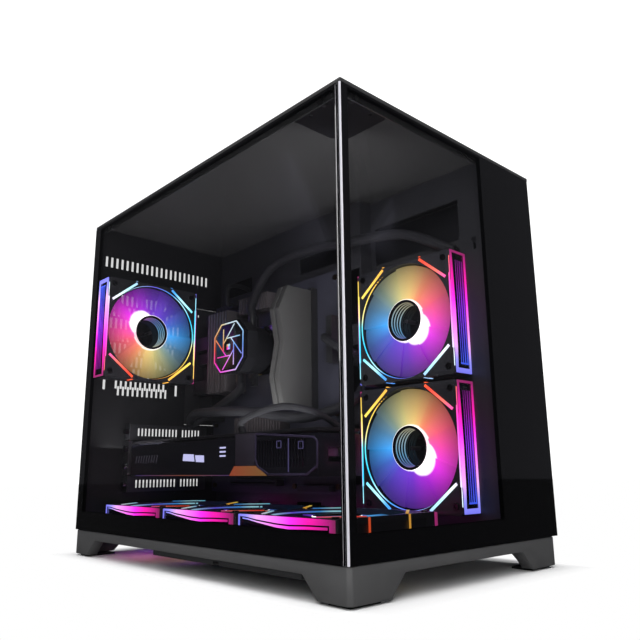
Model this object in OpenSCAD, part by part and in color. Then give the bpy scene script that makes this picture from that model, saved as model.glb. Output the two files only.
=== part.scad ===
// Desktop computer tower with two chambers and two glass walls.
// +Z is up and the front glass faces -Y. The side glass faces -X and the second chamber is on +X.
// The origin is on the floor, under the middle of the tower.

/* [Overall] */
// Width of the tower across the front glass
case_w = 277; // [270:1:340]
// Depth of the tower from the front glass to the rear edge
case_d = 434; // [430:1:530]
// Height of the tower from the floor to the top
case_h = 387; // [380:1:470]
// Height of the base under the glass
base_h = 27; // [24:1:34]
// Width of the second chamber behind the motherboard
chamber_w = 97; // [96:1:120]

/* [Sheets and panels] */
// Thickness of the steel sheets
sheet_t = 1; // [0.8:0.1:1.4]
// Thickness of the glass
glass_t = 4; // [3:0.1:5]
// Thickness of the roof
roof_t = 3; // [2.8:0.1:4]
// Thickness of the floor, with its folded rim
floor_t = 2; // [1.6:0.1:3]
// How far the front glass stands out past the right panel
side_overhang = 5; // [3:0.5:8]
// How far the rear panel is set in from the rear edge
rear_inset = 11; // [8:0.5:16]
// Gap round every piece that comes off or slides
panel_gap = 0.5; // [0.4:0.1:1]

/* [Base] */
// Length of a foot along the front
foot_w = 41; // [30:1:60]
// Length of a foot along the side
foot_d = 32; // [26:1:50]
// How far a foot's inner end slopes
foot_slope = 16; // [10:1:20]
// Height of the rubber pads under the feet
pad_h = 2; // [1:0.5:4]
// Wall of the base
base_wall = 12; // [10:1:16]

/* [Fans] */
// Side of a case fan's square frame
fan_size = 120; // [100:1:126]
// Depth of a case fan
fan_depth = 25; // [20:1:30]
// Wall between the fan's round opening and its side
fan_wall = 3; // [2:0.5:5]
// Radius of a fan's hub
hub_r = 21; // [16:1:24]
// Radius of a fan's shaft
shaft_r = 2; // [1.5:0.1:3]
// Gap between a shaft and its bore
running_gap = 0.05; // [0.02:0.01:0.09]
// Gap between the floor fans
floor_fan_gap = 7; // [4:0.5:10]
// Gap between the side fans
side_fan_gap = 5; // [4:0.5:10]

/* [Motherboard] */
// Side of the square motherboard
board_size = 244; // [226:1:250]
// Thickness of the motherboard
board_t = 1.6; // [1.4:0.1:2.4]
// Height of the standoffs under the motherboard
standoff_h = 6.5; // [6:0.5:10]
// Distance between expansion slots
slot_pitch = 20.32; // [20.32:0.01:20.33]
// Length of a memory module
ram_len = 136; // [130:1:140]
// Distance between memory modules
ram_pitch = 9.4; // [9:0.1:11]

/* [Graphics card] */
// Length of the graphics card
gpu_len = 330; // [312:1:340]
// Thickness of the graphics card
gpu_t = 41; // [38:1:46]
// Height of the graphics card from its slot to its outer face
gpu_h = 104; // [96:1:112]
// Radius of a graphics card fan
gpu_fan_r = 43; // [36:1:45]

/* [Cooler] */
// Length of the radiator
rad_len = 277; // [270:1:300]
// Thickness of the radiator
rad_t = 27; // [22:1:32]
// Diameter of the coolant tubes
tube_d = 11; // [9:0.5:13.5]
// Distance across the pump's octagonal face
pump_size = 62; // [54:1:68]

/* [Power supply and drives] */
// Width of the power supply, across the second chamber
psu_w = 86; // [80:1:87]
// Height of the power supply
psu_h = 150; // [140:1:160]
// Depth of the power supply
psu_d = 140; // [125:1:180]
// Radius of the power supply's fan
psu_fan_r = 58; // [50:1:62]

/* [Hidden] */

// Main planes
x_left = -case_w / 2;
x_right = case_w / 2;
y_front = -case_d / 2;
y_rear = case_d / 2;
roof_z = case_h - roof_t;
floor_z = base_h + floor_t;
tray_x = x_right - chamber_w;
side_x = x_right - side_overhang;
back_y = y_rear - rear_inset;
rear_face_y = back_y - sheet_t;
inner_left = x_left + glass_t + panel_gap;
inner_front = y_front + glass_t + panel_gap;
inner_right = side_x - sheet_t - panel_gap;
flange_h = 14;

// Base
arch_z = 18;
edge_bevel = 3;
base_left = x_left + 1;
base_front = y_front + 0.8;
base_rear = y_rear - 0.5;
filter_y0 = base_front + foot_d + foot_slope + panel_gap;
filter_y1 = filter_y0 + 210;
filter_x0 = x_left + 1.5;
filter_x1 = x_left + 150;
filter_t = 4;
filter_z = arch_z - filter_t;
grip_w = 9;
stud_r = 2.5;
stud_gap = 0.6;
stud_low_z = floor_z + 7;
stud_high_z = roof_z - 4;
stud_y = [y_front + 28, y_rear - 28];
stud_x = [inner_left + 18, inner_right - 16];
glass_z0 = base_h + panel_gap;
glass_z1 = roof_z - panel_gap;
glass_y0 = y_front + glass_t + 1.6;
glass_bevel = 0.7;

// Fan positions
fan_bore = fan_size / 2 - fan_wall + 1;
fan_hole = fan_size / 2 - 7.5;
rear_fan_x = inner_left + fan_size / 2;
rear_fan_z = floor_z + 168 + fan_size / 2;
rear_fan_y = rear_face_y - fan_depth;
side_fan_y = y_front + 30 + fan_size / 2;
side_fan_x = tray_x - 7.5;
side_fan_z = [for (i = [0 : 1]) floor_z + 20 + fan_size / 2 + i * (fan_size + side_fan_gap)];
floor_fan_x = x_left + 24.5 + fan_size / 2;
floor_fan_z = floor_z + fan_depth;
floor_fan_y = [for (i = [1 : -1 : -1]) y_front + 225 + i * (fan_size + floor_fan_gap)];
bracket_x = side_fan_x + fan_depth;
bracket_y = side_fan_y + fan_size / 2 + 2;
rad_x = bracket_x + sheet_t;
rad_z = floor_z + 4;

// Motherboard and what is on it
board_x = tray_x - standoff_h - board_t;
board_y1 = rear_face_y - 2;
board_y0 = board_y1 - board_size;
board_z = floor_z + 35;
board_top = board_z + board_size;
cpu_y = board_y1 - 107;
cpu_z = board_z + 169;
socket_h = 7;
ram_y = [for (i = [0 : 1]) cpu_y - 86 - i * ram_pitch];
ram_z = board_z + 90;
ram_base = 9;
slot_z = [for (i = [0 : 3]) board_z + 11.6 + i * slot_pitch];
m2_z = slot_z[3] - 4;
cover_x0 = board_x - 124;
cover_x1 = board_x - 10;
cover_t = 1;
groove_d = 6;

// Pump
stub_end = pump_size / 2 + 8;
stub_x = board_x - socket_h - 20;

// Graphics card
gpu_top = slot_z[2] + 9;
gpu_z = gpu_top - gpu_t;
gpu_edge = board_x - 11;
gpu_x = gpu_edge - gpu_h;
gpu_y1 = rear_face_y - cover_t;
gpu_y0 = gpu_y1 - gpu_len;
gpu_board_z = gpu_top - 4;
gpu_wall = 2.4;
gpu_side = gpu_edge - 3;
gpu_cut = 50;
gpu_fan_y = [for (i = [0 : 2]) gpu_y1 - gpu_fan_r - 12 - i * (gpu_len - 2 * gpu_fan_r - 36.5) / 2];
gpu_fan_x = gpu_x + gpu_h / 2;
gpu_plug_y = gpu_y1 - 206;

// Power supply and drives
psu_x = tray_x + 2;
psu_z = floor_z + 4;
psu_y = rear_face_y - psu_d;
psu_fan_y = psu_y + psu_d / 2;
psu_fan_z = psu_z + psu_h / 2;
cage_z = psu_z + psu_h + 20;
switch_x = psu_x + 62;
switch_z = psu_z + 112;
inlet_x = psu_x + 62;
inlet_z = psu_z + 128;

// Roof controls
button_x = inner_right - 12;
button_y = y_front + 24;
button_r = 5.5;
reset_x = button_x - 16;
usb_x = [reset_x - 18, reset_x - 35];
reset_r = 2.5;
button_gap = 0.4;

// Solid block between two corners
module block(low, high) {
    translate(low) cube(high - low);
}

// Cylinder along X, Y or Z from a start point
module rod_x(start, r, len) {
    translate(start) rotate([0, 90, 0]) cylinder(h = len, r = r, $fn = 48);
}
module rod_y(start, r, len) {
    translate(start) rotate([-90, 0, 0]) cylinder(h = len, r = r, $fn = 48);
}
module rod_z(start, r, len) {
    translate(start) cylinder(h = len, r = r, $fn = 48);
}

// Rectangle with cut corners, centred
module cut_square(size, cut) {
    h = size / 2;
    polygon([
        [-h[0] + cut, -h[1]], [h[0] - cut, -h[1]], [h[0], -h[1] + cut], [h[0], h[1] - cut],
        [h[0] - cut, h[1]], [-h[0] + cut, h[1]], [-h[0], h[1] - cut], [-h[0], -h[1] + cut]
    ]);
}

// Smooth curve through the route's points, and the tube that follows it
function unit(v) = v / norm(v);
function between(p0, p1, p2, p3, t) =
    0.5 * (2 * p1 + (p2 - p0) * t + (2 * p0 - 5 * p1 + 4 * p2 - p3) * t * t
    + (3 * p1 - p0 - 3 * p2 + p3) * t * t * t);
function curve(p, n) = let (last = len(p) - 1) concat(
    [for (i = [0 : last - 1]) for (k = [0 : n - 1])
        between(p[max(i - 1, 0)], p[i], p[i + 1], p[min(i + 2, last)], k / n)],
    [p[last]]);
function directions(c, p) = let (last = len(c) - 1) concat(
    [unit(p[1] - p[0])],
    [for (i = [1 : last - 1]) unit(c[i + 1] - c[i - 1])],
    [unit(p[len(p) - 1] - p[len(p) - 2])]);
function sideways(d, n, i = 0) = i == len(d) ? [] :
    let (m = unit(n - (n * d[i]) * d[i])) concat([m], sideways(d, m, i + 1));

module tube(route, r, start_side, sides = 12, steps = 4) {
    c = curve(route, steps);
    d = directions(c, route);
    n = sideways(d, start_side);
    rings = [for (i = [0 : len(c) - 1]) for (k = [0 : sides - 1])
        c[i] + r * (cos(360 * k / sides) * n[i] + sin(360 * k / sides) * cross(d[i], n[i]))];
    skin = [for (i = [0 : len(c) - 2]) for (k = [0 : sides - 1])
        [i * sides + k, (i + 1) * sides + k, (i + 1) * sides + (k + 1) % sides, i * sides + (k + 1) % sides]];
    first = [for (k = [0 : sides - 1]) k];
    end = [for (k = [sides - 1 : -1 : 0]) (len(c) - 1) * sides + k];
    polyhedron(points = rings, faces = concat(skin, [first, end]), convexity = 4);
}

// Places a fan whose lit face looks along +Z so that it looks up, to the left or to the front
module fan_up(i) {
    translate([floor_fan_x, floor_fan_y[i], floor_fan_z]) children();
}
module fan_left(i) {
    translate([side_fan_x, side_fan_y, side_fan_z[i]]) rotate([0, -90, 0]) children();
}
module fan_front() {
    translate([rear_fan_x, rear_fan_y, rear_fan_z]) rotate([90, 0, 0]) children();
}

// Fan frame: lit face at z = 0, four struts and the motor plate at the back
module fan_frame() {
    difference() {
        translate([0, 0, -fan_depth]) linear_extrude(fan_depth) cut_square([fan_size, fan_size], 3);
        translate([0, 0, -fan_depth - 1]) cylinder(h = fan_depth + 2, r = fan_bore, $fn = 96);
        for (x = [-fan_hole, fan_hole], y = [-fan_hole, fan_hole]) {
            translate([x, y, -fan_depth - 1]) cylinder(h = fan_depth + 2, r = 2.2, $fn = 24);
        }
        for (a = [0 : 90 : 270]) rotate(a) {
            translate([fan_size / 2 - 1, -fan_size / 2 + 14, -fan_depth + 5])
                cube([2, fan_size - 28, fan_depth - 10]);
        }
    }
    for (a = [45 : 90 : 315]) rotate(a) {
        translate([hub_r - 2, -2.5, -fan_depth]) cube([fan_bore - hub_r + 3, 5, 3]);
    }
    translate([0, 0, -fan_depth]) cylinder(h = 4, r = hub_r, $fn = 64);
    translate([0, 0, -fan_depth]) cylinder(h = fan_depth - 6, r = shaft_r, $fn = 32);
}

// Impeller that turns on the shaft of a case fan
module fan_rotor() {
    front = -3;
    back = -fan_depth + 4.5;
    tip = fan_bore - 1.5;
    difference() {
        union() {
            translate([0, 0, back]) cylinder(h = front - back, r = hub_r, $fn = 64);
            intersection() {
                for (a = [0 : 360 / 9 : 359]) rotate(a) {
                    translate([hub_r - 1, 0, (front + back) / 2]) rotate([34, 0, 0])
                        translate([0, -13, -0.8]) cube([tip, 26, 1.6]);
                }
                translate([0, 0, back]) cylinder(h = front - back, r = tip, $fn = 96);
            }
        }
        translate([0, 0, back - 1]) cylinder(h = front - back - 1, r = shaft_r + running_gap, $fn = 32);
    }
}

// ---------- Base and shell ----------

module base_outline() {
    translate([(base_left + side_x) / 2, (base_front + base_rear) / 2])
        cut_square([side_x - base_left, base_rear - base_front], edge_bevel);
}

// Sloped gap between two feet, as a side view: length along X and height along Y
module foot_gap(len, foot) {
    polygon([
        [foot, -1], [len - foot, -1], [len - foot, pad_h], [len - foot - foot_slope, arch_z],
        [foot + foot_slope, arch_z], [foot, pad_h]
    ]);
}

module base_plinth() {
    color("#38383a") difference() {
        translate([0, 0, pad_h]) linear_extrude(base_h - pad_h) base_outline();
        block([base_left + base_wall, base_front + base_wall, -1],
              [side_x - base_wall, base_rear - base_wall, base_h + 1]);
        translate([base_left, base_rear + 1, 0]) rotate([90, 0, 0])
            linear_extrude(case_d + 2) foot_gap(side_x - base_left, foot_w);
        translate([base_left - 1, base_front, 0]) rotate([90, 0, 90])
            linear_extrude(case_w + 2) foot_gap(base_rear - base_front, foot_d);
    }
    // Rails that the bottom dust filter slides on
    color("#38383a") for (side = [0, 1]) {
        y = side == 0 ? filter_y0 - panel_gap : filter_y1 + panel_gap;
        out = side == 0 ? -1 : 1;
        block([base_left + base_wall, min(y, y + 3 * out), filter_z - panel_gap - 2],
              [filter_x1 + 6, max(y, y + 3 * out), base_h]);
        block([base_left + base_wall, min(y - 5 * out, y + 3 * out), filter_z - panel_gap - 2],
              [filter_x1 + 6, max(y - 5 * out, y + 3 * out), filter_z - panel_gap]);
    }
    color("#38383a") block([filter_x1 + panel_gap, filter_y0 - panel_gap - 3, filter_z - panel_gap - 2],
        [filter_x1 + 6, filter_y1 + panel_gap + 3, base_h]);
}

module rubber_feet() {
    inset = 5;
    color("#101010") for (x = [base_left + inset, side_x - foot_w + 6], y = [base_front + inset, base_rear - foot_d + 6]) {
        block([x, y, 0], [x + foot_w - inset - 6, y + foot_d - inset - 6, pad_h]);
    }
}

module floor_pan() {
    color("#1b1b1d") difference() {
        union() {
            block([inner_left, inner_front, base_h], [side_x - sheet_t - panel_gap, back_y, floor_z]);
            block([inner_left, inner_front, base_h], [inner_left + sheet_t, rear_face_y, floor_z + flange_h]);
            block([inner_left, inner_front, base_h], [inner_right, inner_front + sheet_t, floor_z + flange_h]);
        }
        for (i = [0 : 2]) translate([floor_fan_x, floor_fan_y[i], base_h - 1]) difference() {
            cylinder(h = floor_t + 2, r = fan_bore - 2, $fn = 72);
            for (a = [0, 60, 120]) rotate(a) translate([-fan_size / 2, -2, 0]) cube([fan_size, 4, floor_t + 2]);
            cylinder(h = floor_t + 2, r = hub_r, $fn = 48);
        }
        for (i = [0 : 8]) block([psu_x + 8, psu_y + 10 + i * 14, base_h - 1],
            [psu_x + psu_w - 8, psu_y + 14 + i * 14, floor_z + 1]);
        for (y = stud_y) rod_x([inner_left - 1, y, stud_low_z], stud_r + stud_gap, sheet_t + 2);
        for (x = stud_x) rod_y([x, inner_front - 1, stud_low_z], stud_r + stud_gap, sheet_t + 2);
    }
}

// Upright slot with its size and the centre of its face, through the rear panel
module rear_slot(x, z, w, h) {
    block([x - w / 2, rear_face_y - 2, z - h / 2], [x + w / 2, back_y + 2, z + h / 2]);
}

module rear_panel() {
    vents_z = roof_z - 41;
    brick_w = 3.4;
    brick_h = 13;
    color("#1b1b1d") difference() {
        union() {
            block([inner_left, rear_face_y, floor_z], [inner_right, back_y, roof_z]);
            block([inner_left, rear_face_y, floor_z], [inner_left + sheet_t, y_rear - 2, roof_z]);
            block([inner_right - sheet_t, rear_face_y, floor_z], [inner_right, y_rear - 2, roof_z]);
        }
        for (i = [0 : 21]) rear_slot(x_left + 11.5 + i * 6.85, vents_z, 3.2, 13);
        for (row = [-3 : 4], i = [-8 : 8]) {
            x = (i + (row % 2 == 0 ? 0 : 0.5)) * 6.6;
            z = row * (brick_h + 2.2) - 5;
            if (norm([x, z]) < fan_bore - 5) rear_slot(rear_fan_x + x, rear_fan_z + z, brick_w, brick_h);
        }
        for (i = [0 : 10], row = [0, 1]) rear_slot(rear_fan_x - 32 + (i + row * 0.5) * 6.4,
            rear_fan_z - 64 - row * 8, 3, 11);
        rear_slot(rear_fan_x - 47, rear_fan_z - 64, 3.4, 15);
        rear_slot(rear_fan_x + 50, rear_fan_z - 66, 3.4, 15);
        block([board_x - 44, rear_face_y - 2, board_z + 84], [board_x + 1, back_y + 2, board_top - 4]);
        for (z = slot_z) block([cover_x0 + 8, rear_face_y - 2, z - 6.2], [cover_x1 - 6, back_y + 2, z + 6.2]);
        block([psu_x + 2, rear_face_y - 2, psu_z + 3], [psu_x + psu_w - 2, back_y + 2, psu_z + psu_h - 3]);
        for (i = [0 : 9], row = [0 : 4]) rear_slot(tray_x + 14 + i * 7, cage_z + 16 + row * 24, 3.4, 17);
        for (x = [-fan_hole, fan_hole], z = [-fan_hole, fan_hole]) rod_y([rear_fan_x + x, rear_face_y - 2, rear_fan_z + z], 2.2, 6);
    }
}

module motherboard_tray() {
    y0 = bracket_y + sheet_t;
    color("#161618") difference() {
        block([tray_x, y0, floor_z], [tray_x + sheet_t, rear_face_y, roof_z]);
        block([tray_x - 1, cpu_y - 35, cpu_z - 40], [tray_x + 2, cpu_y + 30, cpu_z + 40]);
        for (z = [board_z + 10, board_z + 95, board_z + 180]) {
            block([tray_x - 1, y0 + 1.5, z], [tray_x + 2, board_y0 - 2, z + 62]);
        }
        block([tray_x - 1, board_y1 - 70, board_top + 12], [tray_x + 2, board_y1 - 15, board_top + 32]);
        block([tray_x - 1, cpu_y - 130, board_top + 12], [tray_x + 2, cpu_y - 60, board_top + 32]);
        for (i = [0 : 2]) block([tray_x - 1, board_y1 - 60 - i * 70, floor_z + 8],
            [tray_x + 2, board_y1 - 20 - i * 70, floor_z + 26]);
    }
}

// Sheet between the side fans and the radiator, with the step that joins it to the tray
module radiator_bracket() {
    y0 = inner_front + sheet_t;
    y1 = bracket_y;
    key_z = side_fan_z[1] + fan_size / 2 + 8;
    color("#161618") difference() {
        union() {
            block([bracket_x, y0, floor_z], [rad_x, y1 + sheet_t, roof_z]);
            block([tray_x, y1, floor_z], [rad_x, y1 + sheet_t, roof_z]);
        }
        rod_x([bracket_x - 1, y0 + 12, key_z + 4], 3, sheet_t + 2);
        block([bracket_x - 1, y0 + 10.5, key_z - 6], [rad_x + 1, y0 + 13.5, key_z + 4]);
        for (z = side_fan_z) {
            rod_x([bracket_x - 1, side_fan_y, z], fan_bore, sheet_t + 2);
            for (y = [-fan_hole, fan_hole], dz = [-fan_hole, fan_hole]) rod_x([bracket_x - 1, side_fan_y + y, z + dz], 2.2, sheet_t + 2);
        }
        block([bracket_x - 1, side_fan_y - fan_size / 2 + 4, key_z - 7.5],
              [rad_x + 1, side_fan_y + fan_size / 2 - 4, key_z + 50]);
        block([tray_x + 3, y1 - 1, board_z + 70], [rad_x - 2, y1 + sheet_t + 1, board_z + 110]);
    }
}

module roof_panel() {
    vent_x0 = tray_x + 12;
    color("#232325") difference() {
        union() {
            block([x_left, y_front, roof_z], [x_right, y_rear - 1, case_h]);
            block([inner_left, inner_front, roof_z - 8], [inner_left + sheet_t, rear_face_y, roof_z]);
            block([inner_left, inner_front, roof_z - 8], [inner_right, inner_front + sheet_t, roof_z]);
        }
        block([vent_x0, y_front + 50, case_h - 1.6], [inner_right - 2, y_rear - 20, case_h + 1]);
        for (i = [0 : 26], side = [0, 1]) {
            block([vent_x0 + 5 + side * 36, y_front + 58 + i * 12.5, roof_z - 1],
                  [vent_x0 + 35 + side * 36, y_front + 64 + i * 12.5, case_h + 1]);
        }
        rod_z([button_x, button_y, roof_z - 1], button_r + button_gap, roof_t + 2);
        rod_z([reset_x, button_y, roof_z - 1], reset_r + button_gap, roof_t + 2);
        for (i = [0, 1]) block([usb_x[i] - 7, button_y - 3.4, roof_z - 1], [usb_x[i] + 7, button_y + 3.4, case_h + 1]);
        block([reset_x - 10, button_y - 8, roof_z - 1], [reset_x - 5.5, button_y + 3, case_h + 1]);
        rod_z([reset_x - 7.7, button_y + 8.5, roof_z - 1], 2, roof_t + 2);
        for (y = stud_y) rod_x([inner_left - 1, y, stud_high_z], stud_r + stud_gap, sheet_t + 2);
        for (x = stud_x) rod_y([x, inner_front - 1, stud_high_z], stud_r + stud_gap, sheet_t + 2);
    }
}

// Plate under the roof that ties the two top flanges together in the glass corner
module corner_bracket() {
    reach = 64;
    x0 = inner_left + sheet_t;
    y0 = inner_front + sheet_t;
    color("#0e0e10") difference() {
        translate([0, 0, roof_z - sheet_t]) linear_extrude(sheet_t) polygon([
            [x0, y0], [x0 + reach - 10, y0], [x0 + reach, y0 + 10], [x0 + reach, y0 + reach - 12],
            [x0 + reach - 12, y0 + reach], [x0, y0 + reach]
        ]);
        for (p = [[12, 12], [reach - 16, 12], [12, reach - 16]]) {
            rod_z([x0 + p[0], y0 + p[1], roof_z - 3], 1.8, 4);
        }
    }
}

// Upright sheet of the second chamber, close behind the painted part of the front glass
module front_bracket() {
    y = inner_front + sheet_t;
    x0 = rad_x;
    color("#161618") difference() {
        union() {
            block([x0, y, floor_z], [inner_right, y + sheet_t, roof_z]);
            block([inner_right - sheet_t, y, floor_z], [inner_right, y + 14, roof_z]);
        }
        for (i = [0 : 5]) rod_y([x0 + 50, y - 1, floor_z + 40 + i * 50], 2.2, sheet_t + 2);
        for (z = [stud_low_z, stud_high_z]) rod_y([stud_x[1], y - 1, z], stud_r + stud_gap, sheet_t + 2);
    }
}

module right_panel() {
    vent = 4;
    color("#1e1e20") difference() {
        union() {
            block([side_x - sheet_t, y_front + glass_t + panel_gap, base_h + panel_gap],
                  [side_x, y_rear - 1, roof_z - panel_gap]);
            block([side_x - 9, y_rear - 1 - sheet_t, base_h + panel_gap], [side_x, y_rear - 1, roof_z - panel_gap]);
        }
        for (row = [0 : 9], i = [0 : 9]) {
            block([side_x - 2, y_front + 42 + i * 12, floor_z + 30 + row * 26],
                  [side_x + 1, y_front + 42 + vent + i * 12, floor_z + 50 + row * 26]);
        }
        for (row = [0 : 4], i = [0 : 9]) {
            block([side_x - 2, psu_y + 10 + i * 12, floor_z + 12 + row * 26],
                  [side_x + 1, psu_y + 10 + vent + i * 12, floor_z + 32 + row * 26]);
        }
    }
}

// Pane seen from above, with polished bevels on its upright edges
module pane(x0, y0, x1, y1) {
    translate([(x0 + x1) / 2, (y0 + y1) / 2, glass_z0]) linear_extrude(glass_z1 - glass_z0)
        cut_square([x1 - x0, y1 - y0], glass_bevel);
}

module side_glass() {
    color("#20202880") pane(x_left, glass_y0, x_left + glass_t, y_rear);
}

module front_glass() {
    color("#20202880") pane(x_left, y_front, x_right, y_front + glass_t);
}

// Studs bonded to the glass, which push into the holes of the floor and roof flanges
module side_glass_studs() {
    x = x_left + glass_t;
    color("#2a2a2c") for (y = stud_y, z = [stud_low_z, stud_high_z]) {
        rod_x([x, y, z], stud_r, 7);
    }
}

module front_glass_studs() {
    y = y_front + glass_t;
    color("#2a2a2c") for (x = stud_x, z = [stud_low_z, stud_high_z]) {
        rod_y([x, y, z], stud_r, 7);
    }
}

module top_dust_filter() {
    x0 = tray_x + 12 + panel_gap;
    x1 = inner_right - 2 - panel_gap;
    y0 = y_front + 50 + panel_gap;
    y1 = y_rear - 20 - panel_gap;
    z0 = case_h - 1.6;
    rib = 1.2;
    color("#151515") {
        difference() {
            block([x0, y0, z0], [x1, y1, case_h]);
            block([x0 + 6, y0 + 6, z0 - 1], [x1 - 6, y1 - 6, case_h + 1]);
        }
        block([x0 + 5, y0 + 5, z0 + 0.5], [x1 - 5, y1 - 5, z0 + 0.9]);
        for (i = [1 : 5]) {
            y = y0 + (y1 - y0) * i / 6;
            block([x0 + 3, y - rib, z0], [x1 - 3, y + rib, case_h - 0.2]);
        }
    }
}

module bottom_dust_filter() {
    grip_y = y_front + 156;
    color("#303032") {
        difference() {
            block([filter_x0, filter_y0, filter_z], [filter_x1, filter_y1, filter_z + filter_t]);
            block([filter_x0 + 10, filter_y0 + 8, filter_z - 1], [filter_x1 - 8, filter_y1 - 8, filter_z + filter_t + 1]);
            block([filter_x0 - 1, grip_y - grip_w / 2, filter_z - 1],
                  [filter_x0 + 5, grip_y + grip_w / 2, filter_z + filter_t - 1]);
        }
        block([filter_x0 + 9, filter_y0 + 7, filter_z + 1.6], [filter_x1 - 7, filter_y1 - 7, filter_z + 2]);
        for (i = [1 : 3]) block([filter_x0 + 9, filter_y0 + (filter_y1 - filter_y0) * i / 4 - 1, filter_z + 0.5],
            [filter_x1 - 7, filter_y0 + (filter_y1 - filter_y0) * i / 4 + 1, filter_z + 3]);
        for (i = [1 : 2]) block([filter_x0 + (filter_x1 - filter_x0) * i / 3 - 1, filter_y0 + 7, filter_z + 0.5],
            [filter_x0 + (filter_x1 - filter_x0) * i / 3 + 1, filter_y1 - 7, filter_z + 3]);
    }
}

// ---------- Power supply and drives ----------

module psu_body() {
    x1 = psu_x + psu_w;
    color("#202022") difference() {
        block([psu_x, psu_y, psu_z], [x1, rear_face_y, psu_z + psu_h]);
        rod_x([x1 - 30, psu_fan_y, psu_fan_z], psu_fan_r + 2, 31);
        block([inlet_x - 12, rear_face_y - 20, inlet_z - 8.5], [inlet_x + 12, rear_face_y + 1, inlet_z + 8.5]);
        block([switch_x - 7.5, rear_face_y - 12, switch_z - 8], [switch_x + 7.5, rear_face_y + 1, switch_z + 5]);
        for (row = [0 : 9], i = [0 : 5]) block([psu_x + 8 + i * 7, rear_face_y - 6, psu_z + 10 + row * 12],
            [psu_x + 12 + i * 7, rear_face_y + 1, psu_z + 18 + row * 12]);
    }
    color("#202022") {
        rod_x([x1 - 31, psu_fan_y, psu_fan_z], 16, 4);
        rod_x([x1 - 31, psu_fan_y, psu_fan_z], shaft_r, 22);
    }
    color("#202022") for (x = [psu_x + 8, psu_x + 44], i = [0 : 2]) {
        block([x, psu_y - 8, psu_z + 20 + i * 36], [x + 26, psu_y, psu_z + 44 + i * 36]);
    }
}

// Wire guard over the power supply's fan
module psu_grille() {
    x = psu_x + psu_w;
    wire = 0.8;
    color("#8c8c90") translate([x, psu_fan_y, psu_fan_z]) rotate([0, 90, 0]) {
        for (r = [14 : 11 : psu_fan_r + 3]) {
            rotate_extrude($fn = 96) translate([r, wire]) circle(r = wire, $fn = 16);
        }
        for (a = [45, 135]) rotate([0, 0, a]) translate([-psu_fan_r - 8, -wire, 0])
            cube([2 * psu_fan_r + 16, 2 * wire, 2 * wire]);
    }
}

module psu_fan_rotor() {
    color("#141416") translate([psu_x + psu_w - 27, psu_fan_y, psu_fan_z]) rotate([0, 90, 0]) difference() {
        union() {
            translate([0, 0, 0.5]) cylinder(h = 20, r = 20, $fn = 48);
            intersection() {
                for (a = [0 : 40 : 359]) rotate(a) translate([19, 0, 10.5]) rotate([32, 0, 0])
                    translate([0, -11, -0.8]) cube([psu_fan_r, 22, 1.6]);
                translate([0, 0, 0.5]) cylinder(h = 20, r = psu_fan_r, $fn = 96);
            }
        }
        translate([0, 0, -0.5]) cylinder(h = 19.5, r = shaft_r + running_gap, $fn = 32);
    }
}

// Rocker with its pin along X
module psu_switch() {
    tilt = 8;
    color("#0c0c0c") translate([switch_x, rear_face_y - 3, switch_z - 1.5]) rotate([tilt, 0, 0]) {
        translate([-6, 0, 0]) rotate([0, 90, 0]) cylinder(h = 12, r = 3, $fn = 48);
        translate([-6, -1, -5.5]) cube([12, 3.6, 11]);
    }
}

module mains_inlet() {
    y1 = rear_face_y + 1.4;
    color("#0c0c0c") difference() {
        union() {
            block([inlet_x - 12, rear_face_y - 20, inlet_z - 8.5], [inlet_x + 12, rear_face_y, inlet_z + 8.5]);
            block([inlet_x - 14, rear_face_y, inlet_z - 10], [inlet_x + 14, y1, inlet_z + 10]);
        }
        block([inlet_x - 10, rear_face_y - 16, inlet_z - 6.5], [inlet_x + 10, y1 + 1, inlet_z + 6.5]);
    }
    color("#b0a070") for (x = [-6, 0, 6]) {
        block([inlet_x + x - 1, rear_face_y - 16.5, inlet_z - 2], [inlet_x + x + 1, rear_face_y - 2, inlet_z + 2]);
    }
}

module drive_cage() {
    x0 = tray_x + sheet_t;
    x1 = x0 + 32;
    y0 = rear_face_y - 152;
    z1 = cage_z + 106;
    color("#1b1b1d") difference() {
        block([x0, y0, cage_z - 2], [x1, y0 + 150, z1 + 2]);
        block([x0 + sheet_t, y0 - 1, cage_z], [x1 + 1, y0 + 151, z1]);
        for (i = [0 : 4]) block([x0 + 6, y0 + 10 + i * 28, cage_z - 3], [x1 - 6, y0 + 28 + i * 28, z1 + 3]);
    }
}

module hard_drive() {
    x0 = tray_x + sheet_t + sheet_t + 1;
    y0 = rear_face_y - 150;
    color("#9a9a9c") difference() {
        block([x0, y0, cage_z], [x0 + 26, y0 + 146, cage_z + 101.6]);
        block([x0 + 24.5, y0 + 8, cage_z + 8], [x0 + 27, y0 + 138, cage_z + 93.6]);
    }
    color("#9a9a9c") rod_x([x0 + 24, y0 + 88, cage_z + 50.8], 38, 1.6);
}

module solid_state_drive() {
    x0 = tray_x + sheet_t;
    y0 = bracket_y + 34;
    color("#2a2a2c") block([x0, y0, floor_z + 40], [x0 + 7, y0 + 70, floor_z + 140]);
}

// ---------- Motherboard ----------

module board_holes(r, x, len) {
    for (y = [board_y1 - 8, board_y1 - 166, board_y0 + 8], z = [board_z + 8, board_z + 84, board_top - 8]) {
        rod_x([x, y, z], r, len);
    }
}

module motherboard() {
    color("#101418") difference() {
        block([board_x, board_y0, board_z], [board_x + board_t, board_y1, board_top]);
        board_holes(2, board_x - 1, board_t + 2);
    }
}

module standoffs() {
    color("#b59a5a") difference() {
        board_holes(3, board_x + board_t, standoff_h);
        board_holes(1.6, board_x + board_t - 1, 5);
    }
    color("#c8c8cc") {
        board_holes(1.5, board_x - 0.5, board_t + 4);
        board_holes(3, board_x - 2, 2);
    }
}

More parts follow.
